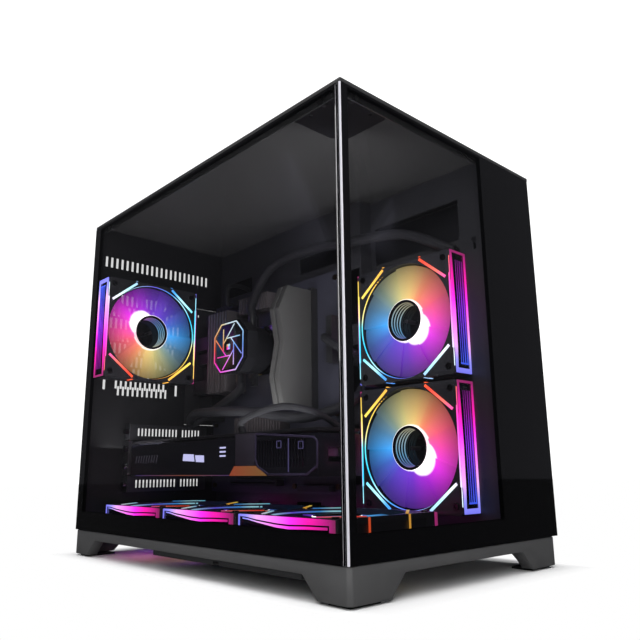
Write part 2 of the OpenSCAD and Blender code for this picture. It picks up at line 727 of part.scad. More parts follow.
// Cover plate and connectors, each as [lower edge above the board's own lower edge, height, reach from the board]
module rear_ports() {
    ports = [[88, 13, 34], [104, 16, 22], [123, 17, 30], [143, 16, 17], [162, 14, 26], [180, 17, 30],
             [200, 13, 12], [216, 15, 15]];
    // Gaps of the cover plate, as [reach from the board, lower edge, height]
    gaps = [[42, 158, 17], [42, 138, 14], [34, 189, 8], [34, 178, 7], [28, 228, 3]];
    y0 = board_y1 - 26;
    y1 = back_y + 0.5;
    color("#1b1b1d") difference() {
        block([board_x - 43.6, rear_face_y + 0.1, board_z + 84.4], [board_x + 0.6, back_y - 0.1, board_top - 4.4]);
        for (g = gaps) block([board_x - g[0], rear_face_y - 1, board_z + g[1]],
            [board_x - g[0] + 1.8, back_y + 1, board_z + g[1] + g[2]]);
    }
    color("#a4a6aa") for (p = ports) difference() {
        block([board_x - p[2], y0, board_z + p[0]], [board_x, y1, board_z + p[0] + p[1]]);
        block([board_x - p[2] + 2, y1 - 12, board_z + p[0] + 2.5],
              [board_x - 2.5, y1 + 1, board_z + p[0] + p[1] - 2.5]);
    }
}

// Finned block: base on the board, fins side by side along Y
module fins_y(y0, y1, z0, z1, reach, base, count) {
    pitch = (y1 - y0) / count;
    block([board_x - base, y0, z0], [board_x, y1, z1]);
    for (i = [0 : count - 1]) block([board_x - reach, y0 + i * pitch, z0],
        [board_x - base + 0.5, y0 + (i + 0.55) * pitch, z1]);
}

module board_heatsinks() {
    color("#4a4648") {
        fins_y(cpu_y + 36, board_y1 - 27, cpu_z - 48, cpu_z + 55, 32, 8, 7);
        fins_y(cpu_y - 28, cpu_y + 32, board_top - 26, board_top - 6, 18, 8, 12);
        fins_y(cpu_y - 50, cpu_y + 42, m2_z, m2_z + 20, 15, 6, 18);
        fins_y(board_y0 + 14, board_y0 + 58, board_z + 22, board_z + 66, 9, 4, 6);
    }
}

module cpu_socket() {
    color("#2c2c2e") difference() {
        block([board_x - socket_h + 2, cpu_y - 26, cpu_z - 30], [board_x, cpu_y + 26, cpu_z + 30]);
        block([board_x - socket_h, cpu_y - 19, cpu_z - 19], [board_x - 2, cpu_y + 19, cpu_z + 19]);
    }
    color("#b8babd") block([board_x - socket_h, cpu_y - 18.5, cpu_z - 18.5],
        [board_x - 2, cpu_y + 18.5, cpu_z + 18.5]);
}

module octagon_plate(x0, x1, size, cut) {
    translate([x0, cpu_y, cpu_z]) rotate([90, 0, 90]) linear_extrude(x1 - x0) cut_square([size, size], cut);
}

module pump_head() {
    x1 = board_x - socket_h;
    cold = 4;
    color("#151517") {
        rod_x([x1 - 40, cpu_y, cpu_z], pump_size / 2 - 2, 40 - cold);
        octagon_plate(x1 - 41, x1 - 26, pump_size - 2, 14);
        rod_x([x1 - cold, cpu_y, cpu_z], 27, cold);
    }
    color("#151517") for (z = [-1, 1]) difference() {
        block([x1 - 9, cpu_y - 6, min(cpu_z + z * 27, cpu_z + z * 44)],
              [x1 - 6, cpu_y + 6, max(cpu_z + z * 27, cpu_z + z * 44)]);
        rod_x([x1 - 10, cpu_y, cpu_z + z * 39], 2, 5);
    }
    // Two tube stubs on the pump
    color("#151517") for (side = [-1, 1]) {
        rod_z([x1 - 20, cpu_y - side * 12, side > 0 ? cpu_z + 20 : cpu_z - stub_end], 5, stub_end - 20);
    }
}

module pump_cap() {
    x1 = board_x - socket_h - 41;
    color("#0a0a0c") {
        octagon_plate(x1 - 5, x1, pump_size, 15);
    }
}

module ram_slots() {
    color("#18181a") for (y = ram_y) difference() {
        block([board_x - ram_base, y - 3.2, ram_z - 3], [board_x, y + 3.2, ram_z + ram_len + 3]);
        block([board_x - ram_base - 1, y - 0.8, ram_z + 1], [board_x - ram_base + groove_d, y + 0.8, ram_z + ram_len - 1]);
    }
}

module ram_modules() {
    top = board_x - 57;
    dip = 7;
    z1 = ram_z + ram_len;
    base_x = board_x - ram_base;
    color("#4a4a4b") for (y = ram_y) {
        translate([0, y + 3.8, 0]) rotate([90, 0, 0]) linear_extrude(7.6) polygon([
            [base_x - 1, ram_z + 1], [top + dip, ram_z + 1], [top, ram_z + 33], [top + dip, ram_z + 72],
            [top, ram_z + 108], [top + dip + 5, z1 - 1], [base_x - 1, z1 - 1]
        ]);
        block([base_x - 1.5, y - 0.6, ram_z + 3], [base_x + groove_d - 0.5, y + 0.6, z1 - 3]);
    }
}

module board_connectors() {
    color("#0e0e10") {
        block([board_x - 13, board_y0 + 2, board_z + 138], [board_x, board_y0 + 11, board_z + 190]);
        block([board_x - 13, board_y1 - 66, board_top - 11], [board_x, board_y1 - 46, board_top - 2]);
        for (i = [0 : 1]) block([board_x - 11, board_y0 + 2, board_z + 20 + i * 18],
            [board_x, board_y0 + 12, board_z + 34 + i * 18]);
        block([board_x - 9, board_y0 + 14, board_z + 3], [board_x, board_y0 + 64, board_z + 9]);
    }
    color("#b8b4c8") for (i = [0 : 2]) rod_x([board_x - 11, board_y1 - 33 - i * 11, cpu_z - 72], 4, 11);
}

module pcie_slots() {
    color("#121214") for (z = [gpu_board_z, slot_z[0]]) difference() {
        block([board_x - 11, board_y1 - 146, z - 3.6], [board_x, board_y1 - 56, z + 3.6]);
        block([board_x - 12, board_y1 - 144, z - 1], [board_x - 11 + groove_d, board_y1 - 58, z + 1]);
    }
    color("#121214") block([board_x - 9, board_y1 - 84, slot_z[1] - 3.8], [board_x, board_y1 - 56, slot_z[1] + 3.8]);
}

// Blank plate of one expansion slot, with the bent tab that its screw holds
module slot_plate(z, height, vents) {
    difference() {
        union() {
            block([cover_x0, rear_face_y - cover_t, z], [cover_x1, rear_face_y, z + height]);
            block([cover_x0, rear_face_y - 11, z], [cover_x0 + cover_t, rear_face_y, z + height]);
        }
        if (vents) for (i = [0 : 18]) if (i != 12) {
            block([cover_x0 + 16 + i * 4.7, rear_face_y - 2, z + height / 2 - 4.5],
                  [cover_x0 + 18.4 + i * 4.7, rear_face_y + 1, z + height / 2 + 4.5]);
        }
    }
}

module slot_covers() {
    color("#2a2a2c") for (i = [0, 3]) slot_plate(slot_z[i] - 9.2, 18.4, true);
}

// ---------- Graphics card ----------

module gpu_bracket() {
    z0 = slot_z[1] - 9.2;
    color("#8a8a8e") difference() {
        slot_plate(z0, slot_pitch + 18.4, false);
        for (i = [0 : 3]) block([cover_x0 + 18 + i * 22, rear_face_y - 2, z0 + 26],
            [cover_x0 + 34 + i * 22, rear_face_y + 1, z0 + 34]);
        for (i = [0 : 13]) block([cover_x0 + 16 + i * 6.6, rear_face_y - 2, z0 + 5],
            [cover_x0 + 20 + i * 6.6, rear_face_y + 1, z0 + 15]);
    }
}

module gpu_board() {
    color("#0d1210") {
        block([gpu_x + 8, gpu_y0 + 60, gpu_board_z - 0.8], [gpu_edge - 1, gpu_y1, gpu_board_z + 0.8]);
        block([gpu_edge - 2, board_y1 - 143, gpu_board_z - 0.7], [gpu_edge + groove_d - 1, board_y1 - 59, gpu_board_z + 0.7]);
    }
    color("#0c0c0c") block([gpu_x + 9, gpu_plug_y - 10, gpu_board_z + 0.8], [gpu_x + 20, gpu_plug_y + 10, gpu_top + 0.6]);
}

// Plan of the card with its front corner cut off on the side of the board, set in by a wall
module card_plan(inset) {
    cut = gpu_cut + inset * (sqrt(2) - 2);
    polygon([
        [gpu_x + inset, gpu_y0 + inset], [gpu_side - inset - cut, gpu_y0 + inset],
        [gpu_side - inset, gpu_y0 + inset + cut], [gpu_side - inset, gpu_y1 - inset],
        [gpu_x + inset, gpu_y1 - inset]
    ]);
}

// How far to the right the inside of the card reaches at a depth along Y
function card_reach(y) = min(gpu_edge - 8, gpu_side - gpu_cut + y - gpu_y0 - 6);

// Shroud: shell open to the board, with three fan openings in its underside
module gpu_shroud() {
    wall = gpu_wall;
    z1 = gpu_board_z - 1;
    rib_y0 = gpu_y0 + 16;
    rib_len = 84;
    color("#17161f") difference() {
        translate([0, 0, gpu_z]) linear_extrude(z1 - gpu_z) card_plan(0);
        translate([0, 0, gpu_z + wall]) linear_extrude(z1 - gpu_z) card_plan(wall);
        for (y = gpu_fan_y) rod_z([gpu_fan_x, y, gpu_z - 1], gpu_fan_r + 1.5, wall + 2);
        block([gpu_x - 1, rib_y0, gpu_z + 8], [gpu_x + wall + 1, rib_y0 + rib_len, z1 - 4]);
        block([gpu_x + 12, gpu_y0 - 1, gpu_z + 12], [gpu_side - gpu_cut - 6, gpu_y0 + wall + 1, gpu_z + 24]);
    }
    // Ribs across the window in the outer side
    color("#2b2740") for (i = [0 : 20]) {
        block([gpu_x + 0.6, rib_y0 + 1.4 + i * 4, gpu_z + 7], [gpu_x + wall, rib_y0 + 3 + i * 4, z1 - 3]);
    }
    // Stator plates and shafts that carry the three fans
    color("#17161f") for (y = gpu_fan_y) {
        rod_z([gpu_fan_x, y, gpu_z + 13], 15, 3);
        rod_z([gpu_fan_x, y, gpu_z + 3], shaft_r, 12);
        for (side = [0, 1]) block([side == 0 ? gpu_x + 1 : gpu_fan_x + 13, y - 2, gpu_z + 13],
            [side == 0 ? gpu_fan_x - 13 : gpu_side - 1, y + 2, gpu_z + 15]);
    }
}

module gpu_backplate() {
    color("#1a1a1d") difference() {
        translate([0, 0, gpu_board_z + 1.2]) linear_extrude(gpu_top - gpu_board_z - 1.2) card_plan(0);
        for (i = [0 : 6]) block([gpu_x + 16, gpu_y0 + 12 + i * 7, gpu_board_z],
            [card_reach(gpu_y0 + 12 + i * 7) - 8, gpu_y0 + 15.5 + i * 7, gpu_top + 1]);
        block([gpu_x + 8.5, gpu_plug_y - 10.5, gpu_board_z], [gpu_x + 20.5, gpu_plug_y + 10.5, gpu_top + 1]);
    }
}

module gpu_heatsink() {
    x0 = gpu_x + 5;
    z0 = gpu_z + 17;
    z1 = gpu_board_z - 3;
    count = 44;
    pitch = (gpu_len - 24) / count;
    color("#9b9ca0") {
        for (y = [gpu_y0 + 10 : pitch : gpu_y1 - 14.5]) block([x0, y, z0], [card_reach(y), y + 1, z1]);
        for (x = [x0 + 16 : 20 : x0 + 76]) {
            start = max(gpu_y0 + 6, gpu_y0 + x - gpu_side + gpu_cut + 12);
            rod_y([x, start, z1 - 7.5], 3, gpu_y1 - 12 - start);
        }
        block([x0 + 10, gpu_y1 - 190, z1 - 3], [gpu_edge - 18, gpu_y1 - 60, z1 + 2.2]);
    }
}

module gpu_fan_rotor(i) {
    color("#101014") translate([gpu_fan_x, gpu_fan_y[i], gpu_z + 1]) difference() {
        union() {
            cylinder(h = 11, r = 15, $fn = 48);
            intersection() {
                for (a = [0 : 360 / 11 : 359]) rotate(a) translate([14, 0, 5.5]) rotate([30, 0, 0])
                    translate([0, -9, -0.6]) cube([gpu_fan_r, 18, 1.2]);
                cylinder(h = 11, r = gpu_fan_r, $fn = 96);
            }
            difference() {
                cylinder(h = 11, r = gpu_fan_r, $fn = 96);
                translate([0, 0, -1]) cylinder(h = 13, r = gpu_fan_r - 1.2, $fn = 96);
            }
        }
        translate([0, 0, 1.5]) cylinder(h = 12, r = shaft_r + running_gap, $fn = 32);
    }
}

module gpu_fan_rotor_1() {
    gpu_fan_rotor(0);
}
module gpu_fan_rotor_2() {
    gpu_fan_rotor(1);
}
module gpu_fan_rotor_3() {
    gpu_fan_rotor(2);
}

// ---------- Cooler ----------

module radiator() {
    x1 = rad_x + rad_t;
    y0 = side_fan_y - fan_size / 2;
    y1 = side_fan_y + fan_size / 2;
    z1 = rad_z + rad_len;
    tank = 18;
    rows = 12;
    pitch = (y1 - y0 - 4) / rows;
    color("#161617") {
        block([rad_x, y0, rad_z], [x1, y1, rad_z + tank]);
        block([rad_x, y0, z1 - tank], [x1, y1, z1]);
        block([rad_x, y0, rad_z], [x1, y0 + 2, z1]);
        block([rad_x, y1 - 2, rad_z], [x1, y1, z1]);
        block([rad_x + rad_t / 2 - 3, y0 + 1, rad_z + tank - 1], [rad_x + rad_t / 2 + 3, y1 - 1, z1 - tank + 1]);
        for (i = [0 : rows - 1]) block([rad_x + 4, y0 + 2 + (i + 0.3) * pitch, rad_z + tank - 1],
            [x1 - 4, y0 + 2 + (i + 0.7) * pitch, z1 - tank + 1]);
    }
}

upper_route = [
    [stub_x, cpu_y - 12, cpu_z + stub_end], [stub_x, cpu_y - 12, cpu_z + stub_end + 18],
    [board_x - 26, cpu_y - 46, cpu_z + 92], [board_x - 20, cpu_y - 100, cpu_z + 101],
    [board_x - 13, side_fan_y + 60, cpu_z + 96], [board_x + 5, side_fan_y, rad_z + rad_len + 16],
    [rad_x - 12, side_fan_y - 47, rad_z + rad_len - 9], [rad_x, side_fan_y - 47, rad_z + rad_len - 9]
];
lower_route = [
    [stub_x, cpu_y + 12, cpu_z - stub_end], [stub_x, cpu_y + 12, cpu_z - stub_end - 9],
    [board_x - 38, cpu_y + 40, cpu_z - 68],
    [board_x - 52, cpu_y + 76, cpu_z - 86], [board_x - 60, cpu_y + 58, cpu_z - 76],
    [board_x - 58, cpu_y + 10, cpu_z - 76], [board_x - 52, cpu_y - 50, cpu_z - 80],
    [board_x - 36, cpu_y - 110, cpu_z - 90], [board_x - 10, bracket_y + 11, cpu_z - 78],
    [tray_x + 10, bracket_y + 11, cpu_z - 58], [rad_x + 14, bracket_y + 12, cpu_z - 10],
    [rad_x + 14, bracket_y + 16, rad_z + rad_len - 34], [rad_x + 14, bracket_y + 8, rad_z + rad_len - 9],
    [rad_x + 14, bracket_y - 2, rad_z + rad_len - 9]
];

module coolant_tubes() {
    color("#1a1a1a") {
        tube(upper_route, tube_d / 2, [1, 0, 0]);
        tube(lower_route, tube_d / 2, [1, 0, 0]);
    }
}

main_cable = [
    [board_x - 13, board_y0 + 6.5, board_z + 164], [board_x - 20, board_y0 + 6.5, board_z + 164],
    [board_x - 14, board_y0 - 10, board_z + 152], [tray_x + 3, board_y0 - 12, board_z + 146],
    [tray_x + 14, board_y0, board_z + 140]
];
gpu_cable = [
    [gpu_x + 14, gpu_plug_y, gpu_top + 0.6], [gpu_x + 14, gpu_plug_y, gpu_top + 14],
    [gpu_x + 36, board_y0 + 6, gpu_top + 26], [gpu_x + 78, board_y0 - 8, gpu_top + 18],
    [tray_x - 2, board_y0 - 12, gpu_top - 8], [tray_x + 12, board_y0 - 12, gpu_top - 14]
];
cpu_cable = [
    [board_x - 13, board_y1 - 56, board_top - 6.5], [board_x - 20, board_y1 - 56, board_top - 6.5],
    [board_x - 18, board_y1 - 54, board_top + 16], [tray_x - 4, board_y1 - 50, board_top + 22],
    [tray_x + 12, board_y1 - 48, board_top + 20]
];

module power_cables() {
    color("#17171c") {
        tube(main_cable, 4.5, [0, 0, 1], 10);
        tube(gpu_cable, 3.5, [1, 0, 0], 10);
        tube(cpu_cable, 3, [0, 1, 0], 10);
    }
}

// ---------- Case fans ----------

module rear_fan_frame() {
    color("#121214") fan_front() fan_frame();
}
module rear_fan_rotor() {
    color("#c050d0") fan_front() fan_rotor();
}
module side_fan_frames() {
    color("#121214") for (i = [0, 1]) fan_left(i) fan_frame();
}
module side_fan_rotor_1() {
    color("#c050d0") fan_left(0) fan_rotor();
}
module side_fan_rotor_2() {
    color("#e0b060") fan_left(1) fan_rotor();
}
module bottom_fan_frames() {
    color("#121214") for (i = [0 : 2]) fan_up(i) fan_frame();
}
module bottom_fan_rotor_1() {
    color("#c050d0") fan_up(0) fan_rotor();
}
module bottom_fan_rotor_2() {
    color("#c050d0") fan_up(1) fan_rotor();
}
module bottom_fan_rotor_3() {
    color("#c050d0") fan_up(2) fan_rotor();
}

// ---------- Controls and fasteners ----------

module button(x, r) {
    rod_z([x, button_y, roof_z - 2], r, roof_t + 2);
    rod_z([x, button_y, roof_z - 2], r + 1.2, 1.6);
}

module power_button() {
    color("#2c2c2e") button(button_x, button_r);
}

module reset_button() {
    color("#2c2c2e") button(reset_x, reset_r);
}

// Board under the roof with the switches and the sockets
module top_ports() {
    z0 = roof_z - 16;
    color("#101214") {
        block([usb_x[1] - 8, button_y - 10, z0], [button_x + 7, button_y + 12, z0 + 1.6]);
        block([button_x - 4, button_y - 4, z0], [button_x + 4, button_y + 4, roof_z - 4]);
        block([reset_x - 3, button_y - 3, z0], [reset_x + 3, button_y + 3, roof_z - 4]);
    }
    color("#b0b2b6") for (x = usb_x) difference() {
        block([x - 7, button_y - 3.4, z0 + 1], [x + 7, button_y + 3.4, roof_z + 1]);
        block([x - 6.3, button_y - 2.7, z0 + 4], [x + 6.3, button_y + 2.7, roof_z + 2]);
    }
    color("#b0b2b6") difference() {
        block([reset_x - 10, button_y - 8, z0 + 1], [reset_x - 5.5, button_y + 3, roof_z + 1]);
        block([reset_x - 9.2, button_y - 7.2, z0 + 4], [reset_x - 6.3, button_y + 2.2, roof_z + 2]);
    }
    color("#101214") difference() {
        rod_z([reset_x - 7.7, button_y + 8.5, z0 + 1], 3, 15);
        rod_z([reset_x - 7.7, button_y + 8.5, z0 + 3], 1.75, 15);
    }
}

module thumb_screws() {
    color("#3a3a3c") for (z = slot_z) {
        rod_x([cover_x0 - 4, rear_face_y - 7, z], 3.4, 4);
    }
    color("#3a3a3c") for (x = [-fan_hole, fan_hole], z = [-fan_hole, fan_hole]) {
        rod_y([rear_fan_x + x, back_y, rear_fan_z + z], 4, 2);
        rod_y([rear_fan_x + x, rear_face_y - 6, rear_fan_z + z], 2, 8);
    }
}

base_plinth();
rubber_feet();
floor_pan();
rear_panel();
motherboard_tray();
radiator_bracket();
roof_panel();
corner_bracket();
front_bracket();
right_panel();
side_glass();
front_glass();
side_glass_studs();
front_glass_studs();
top_dust_filter();
bottom_dust_filter();
psu_body();
psu_grille();
psu_fan_rotor();
psu_switch();
mains_inlet();
drive_cage();
hard_drive();
solid_state_drive();
motherboard();
standoffs();
rear_ports();
board_heatsinks();
cpu_socket();
pump_head();
pump_cap();
ram_slots();
ram_modules();
board_connectors();
pcie_slots();
slot_covers();
gpu_shroud();
gpu_backplate();
gpu_heatsink();
gpu_board();
gpu_bracket();
gpu_fan_rotor_1();
gpu_fan_rotor_2();
gpu_fan_rotor_3();
radiator();
coolant_tubes();
power_cables();
rear_fan_frame();
rear_fan_rotor();
side_fan_frames();
side_fan_rotor_1();
side_fan_rotor_2();
bottom_fan_frames();
bottom_fan_rotor_1();
bottom_fan_rotor_2();
bottom_fan_rotor_3();
power_button();
reset_button();
top_ports();
thumb_screws();
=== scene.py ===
import math

import bmesh
import bpy
from mathutils import Matrix, Vector


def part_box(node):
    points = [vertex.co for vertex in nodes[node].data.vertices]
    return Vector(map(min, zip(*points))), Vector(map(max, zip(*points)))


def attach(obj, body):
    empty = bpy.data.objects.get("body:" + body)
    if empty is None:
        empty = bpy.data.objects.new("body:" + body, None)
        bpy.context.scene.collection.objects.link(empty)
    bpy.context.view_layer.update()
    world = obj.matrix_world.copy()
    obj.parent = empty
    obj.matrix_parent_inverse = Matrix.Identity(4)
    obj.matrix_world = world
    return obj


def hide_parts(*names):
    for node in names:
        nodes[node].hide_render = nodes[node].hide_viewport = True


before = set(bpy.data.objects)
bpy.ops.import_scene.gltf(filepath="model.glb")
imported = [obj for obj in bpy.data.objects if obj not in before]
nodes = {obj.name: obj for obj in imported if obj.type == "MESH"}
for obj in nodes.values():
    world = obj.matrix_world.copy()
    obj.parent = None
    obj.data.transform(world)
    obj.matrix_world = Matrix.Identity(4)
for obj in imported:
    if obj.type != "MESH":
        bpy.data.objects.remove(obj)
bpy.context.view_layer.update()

MM = 0.001
bpy.ops.object.select_all(action="DESELECT")


# ---- Camera -------------------------------------------------------------------------------
# It stands low in front of the glass corner and looks up at the tower: it is turned
# round, tilted up and then rolled by half a degree.
camera_data = bpy.data.cameras.new("camera")
camera_data.lens = 36.79
camera_data.sensor_width = 36.0
camera_data.clip_start = 0.01
camera = bpy.data.objects.new("camera", camera_data)
bpy.context.scene.collection.objects.link(camera)
camera.matrix_world = (
    Matrix.Translation((-0.45965, -0.53653, 0.08962))
    @ Matrix.Rotation(math.radians(-42.942), 4, "Z")
    @ Matrix.Rotation(math.radians(90 + 12.901), 4, "X")
    @ Matrix.Rotation(math.radians(-0.6244), 4, "Z")
)
bpy.context.scene.camera = camera
bpy.context.scene.view_settings.view_transform = "Standard"


# ---- Studio -------------------------------------------------------------------------------
# A white sweep behind, a pale floor and soft boxes overhead and on the side of the camera.
# The room that the glass mirrors stays dim, so that both panes look black.
def add_node(tree, kind, inputs=None, **settings):
    made = tree.nodes.new(kind)
    for name, value in settings.items():
        setattr(made, name, value)
    for key, value in (inputs or {}).items():
        if isinstance(value, bpy.types.NodeSocket):
            tree.links.new(value, made.inputs[key])
        else:
            made.inputs[key].default_value = value
    return made


world = bpy.data.worlds.new("studio")
world.use_nodes = True
bpy.context.scene.world = world
sky = world.node_tree
sky.nodes.clear()
room = add_node(sky, "ShaderNodeBackground", {"Color": (0.1, 0.1, 0.11, 1), "Strength": 1.0})
white = add_node(sky, "ShaderNodeBackground", {"Color": (1, 1, 1, 1), "Strength": 1.3})
seen = add_node(sky, "ShaderNodeLightPath")
sky_mix = add_node(sky, "ShaderNodeMixShader", {0: seen.outputs["Is Camera Ray"],
                                                1: room.outputs[0], 2: white.outputs[0]})
add_node(sky, "ShaderNodeOutputWorld", {"Surface": sky_mix.outputs[0]})


def soft_box(name, place, target, size, power, hidden=False):
    data = bpy.data.lights.new(name, "AREA")
    data.shape = "RECTANGLE"
    data.size = size[0]
    data.size_y = size[1]
    data.energy = power
    box = bpy.data.objects.new(name, data)
    bpy.context.scene.collection.objects.link(box)
    box.location = place
    box.rotation_euler = (Vector(target) - Vector(place)).to_track_quat("-Z", "Y").to_euler()
    box.visible_camera = not hidden
    box.visible_glossy = not hidden


soft_box("overhead", (-0.3, -0.2, 1.9), (0, 0, 0), (2.6, 2.6), 60)
soft_box("camera_side", (-1.5, -1.3, 0.9), (0, 0, 0.15), (0.9, 0.9), 16)
soft_box("floor_fill", (-1.3, -1.9, 0.35), (0.0, -0.2, 0.0), (1.2, 0.3), 7, hidden=True)
soft_box("inside_fill", (-0.12, -0.19, 0.3), (0.03, 0.06, 0.18), (0.1, 0.1), 0.9, hidden=True)
soft_box("roof_fill", (-0.07, 0.03, 0.13), (-0.07, 0.05, 0.4), (0.1, 0.38), 1.4, hidden=True)

bpy.ops.mesh.primitive_plane_add(size=9, location=(0, 0, 0))
floor = bpy.context.object
floor.name = "studio_floor"
floor_paint = bpy.data.materials.new("floor_paint")
floor_paint.use_nodes = True
paint = floor_paint.node_tree
matt = paint.nodes["Principled BSDF"]
matt.inputs["Base Color"].default_value = (0.8, 0.8, 0.8, 1)
matt.inputs["Roughness"].default_value = 0.95
matt.inputs["Specular IOR Level"].default_value = 0.0
spot = add_node(paint, "ShaderNodeTexCoord")
SHADED_X = 0.140
SHADED_Y = 0.219
across = add_node(paint, "ShaderNodeVectorMath",
                  {0: spot.outputs["Object"], 1: (1 / SHADED_X, 1 / SHADED_Y, 0)}, operation="MULTIPLY")
away = add_node(paint, "ShaderNodeVectorMath", {0: across.outputs[0]}, operation="ABSOLUTE")
sides = add_node(paint, "ShaderNodeSeparateXYZ", {"Vector": away.outputs[0]})
edge_on = add_node(paint, "ShaderNodeMath", {0: sides.outputs[0], 1: sides.outputs[1]},
                   operation="MAXIMUM")
swept = add_node(paint, "ShaderNodeMapRange",
                 {"Value": edge_on.outputs[0], "From Min": 1.0, "From Max": 1.12})
ray = add_node(paint, "ShaderNodeLightPath")
swept_seen = add_node(paint, "ShaderNodeMath",
                      {0: swept.outputs["Result"], 1: ray.outputs["Is Camera Ray"]},
                      operation="MULTIPLY")
sweep = add_node(paint, "ShaderNodeEmission", {"Color": (1, 1, 1, 1), "Strength": 1.0})
dim = add_node(paint, "ShaderNodeEmission", {"Color": (1, 1, 1, 1), "Strength": 0.03})
seen_floor = add_node(paint, "ShaderNodeMixShader", {0: swept_seen.outputs[0], 1: matt.outputs[0],
                                                     2: sweep.outputs[0]})
mirrored = add_node(paint, "ShaderNodeMixShader", {0: ray.outputs["Is Glossy Ray"],
                                                   1: seen_floor.outputs[0], 2: dim.outputs[0]})
paint.links.new(mirrored.outputs[0], paint.nodes["Material Output"].inputs["Surface"])
floor.data.materials.append(floor_paint)
bpy.ops.object.select_all(action="DESELECT")


# ---- Base ---------------------------------------------------------------------------------
# Moulded ABS base with an arch between its sloped feet and a chamfered upper rim.
# It is bolted under the floor pan. Its fine-grained, matt skin is as it left the mould.
def surface(name, colour, roughness, metallic=0.0, grain=900.0, depth=0.15, mottle=0.12,
            shine=0.5):
    """Painted, moulded or cast skin: mottled colour, uneven gloss and a fine grain."""
    made = bpy.data.materials.new(name)
    made.use_nodes = True
    tree = made.node_tree
    skin = tree.nodes["Principled BSDF"]
    place = add_node(tree, "ShaderNodeTexCoord")
    fine = add_node(tree, "ShaderNodeTexNoise", {"Vector": place.outputs["Object"], "Scale": grain,
                                                 "Detail": 3.0})
    broad = add_node(tree, "ShaderNodeTexNoise", {"Vector": place.outputs["Object"],
                                                  "Scale": grain / 25, "Detail": 4.0})
    dark = tuple(c * (1 - mottle) for c in colour) + (1,)
    pale = tuple(min(1, c * (1 + mottle)) for c in colour) + (1,)
    shade = add_node(tree, "ShaderNodeMix", {"Factor": broad.outputs["Fac"]}, data_type="RGBA")
    shade.inputs[6].default_value = dark
    shade.inputs[7].default_value = pale
    gloss = add_node(tree, "ShaderNodeMapRange", {"Value": broad.outputs["Fac"],
                                                  "To Min": roughness * 0.88,
                                                  "To Max": min(1.0, roughness * 1.12)})
    relief = add_node(tree, "ShaderNodeBump", {"Height": fine.outputs["Fac"], "Strength": depth,
                                               "Distance": 0.0002})
    tree.links.new(shade.outputs[2], skin.inputs["Base Color"])
    tree.links.new(gloss.outputs["Result"], skin.inputs["Roughness"])
    tree.links.new(relief.outputs["Normal"], skin.inputs["Normal"])
    skin.inputs["Metallic"].default_value = metallic
    skin.inputs["Specular IOR Level"].default_value = shine
    return made


def dress(material, *names):
    """Gives carried-over pieces of the frame one finish."""
    for name in names:
        nodes[name].data.materials.clear()
        nodes[name].data.materials.append(material)


def edit(piece):
    bpy.ops.object.select_all(action="DESELECT")
    piece.select_set(True)
    bpy.context.view_layer.objects.active = piece
    bpy.ops.object.mode_set(mode="EDIT")
    bpy.ops.mesh.select_all(action="SELECT")


def leave_edit():
    bpy.ops.object.mode_set(mode="OBJECT")
    bpy.ops.object.select_all(action="DESELECT")


def softened(node, name, width, material):
    """Copy of a frame piece with its edges rounded as they are on the real one."""
    piece = nodes[node].copy()
    piece.data = nodes[node].data.copy()
    piece.name = name
    piece.data.name = name
    for key in list(piece.keys()):
        del piece[key]
    piece.parent = None
    bpy.context.scene.collection.objects.link(piece)
    edit(piece)
    bpy.ops.mesh.remove_doubles(threshold=1e-6)
    bpy.ops.mesh.dissolve_limited(angle_limit=math.radians(0.6))
    leave_edit()
    bpy.context.view_layer.objects.active = piece
    if piece.data.has_custom_normals:
        bpy.ops.mesh.customdata_custom_splitnormals_clear()
    round_edges(piece, width)
    piece.data.materials.clear()
    piece.data.materials.append(material)
    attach(piece, "chassis")
    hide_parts(node)
    return piece


def round_edges(piece, width):
    """Small bevel on every edge that turns by more than a shallow angle."""
    bpy.ops.object.select_all(action="DESELECT")
    piece.select_set(True)
    bpy.context.view_layer.objects.active = piece
    bevel = piece.modifiers.new("bevel", "BEVEL")
    bevel.width = width * MM
    bevel.segments = 2
    bevel.limit_method = "ANGLE"
    bevel.angle_limit = math.radians(32)
    bevel.use_clamp_overlap = True
    bpy.ops.object.modifier_apply(modifier="bevel")
    bpy.ops.object.shade_smooth_by_angle(angle=math.radians(35))
    bpy.ops.object.select_all(action="DESELECT")


base_abs = surface("base_abs", (0.060, 0.060, 0.061), 0.46, grain=1400, depth=0.3)
softened("base_plinth", "base_shell", 0.9, base_abs)

foot_rubber = surface("foot_rubber", (0.012, 0.012, 0.012), 0.85, grain=700, depth=0.4, shine=0.2)
dress(foot_rubber, "rubber_feet")


# ---- Steel chassis ------------------------------------------------------------------------
# Floor, rear wall, motherboard tray and brackets are folded from 1 mm steel and riveted.
# All are powder coated satin black, which leaves a faint orange peel.
powder_coat = surface("powder_coat", (0.016, 0.016, 0.019), 0.42, grain=650, depth=0.22, mottle=0.2)
dress(powder_coat, "floor_pan", "motherboard_tray", "radiator_bracket",
      "front_bracket", "drive_cage", "right_panel")
dark_coat = surface("dark_coat", (0.006, 0.006, 0.007), 0.6, grain=650, depth=0.2, shine=0.25)
dress(dark_coat, "corner_bracket", "rear_panel")


# ---- Roof ---------------------------------------------------------------------------------
# Folded steel roof with a thin rounded rim that catches the light over both panes.
# It is screwed down from the second chamber, and its underside is smooth satin paint.
roof_coat = surface("roof_coat", (0.038, 0.038, 0.039), 0.24, grain=500, depth=0.05, mottle=0.1)
softened("roof_panel", "roof_shell", 0.5, roof_coat)


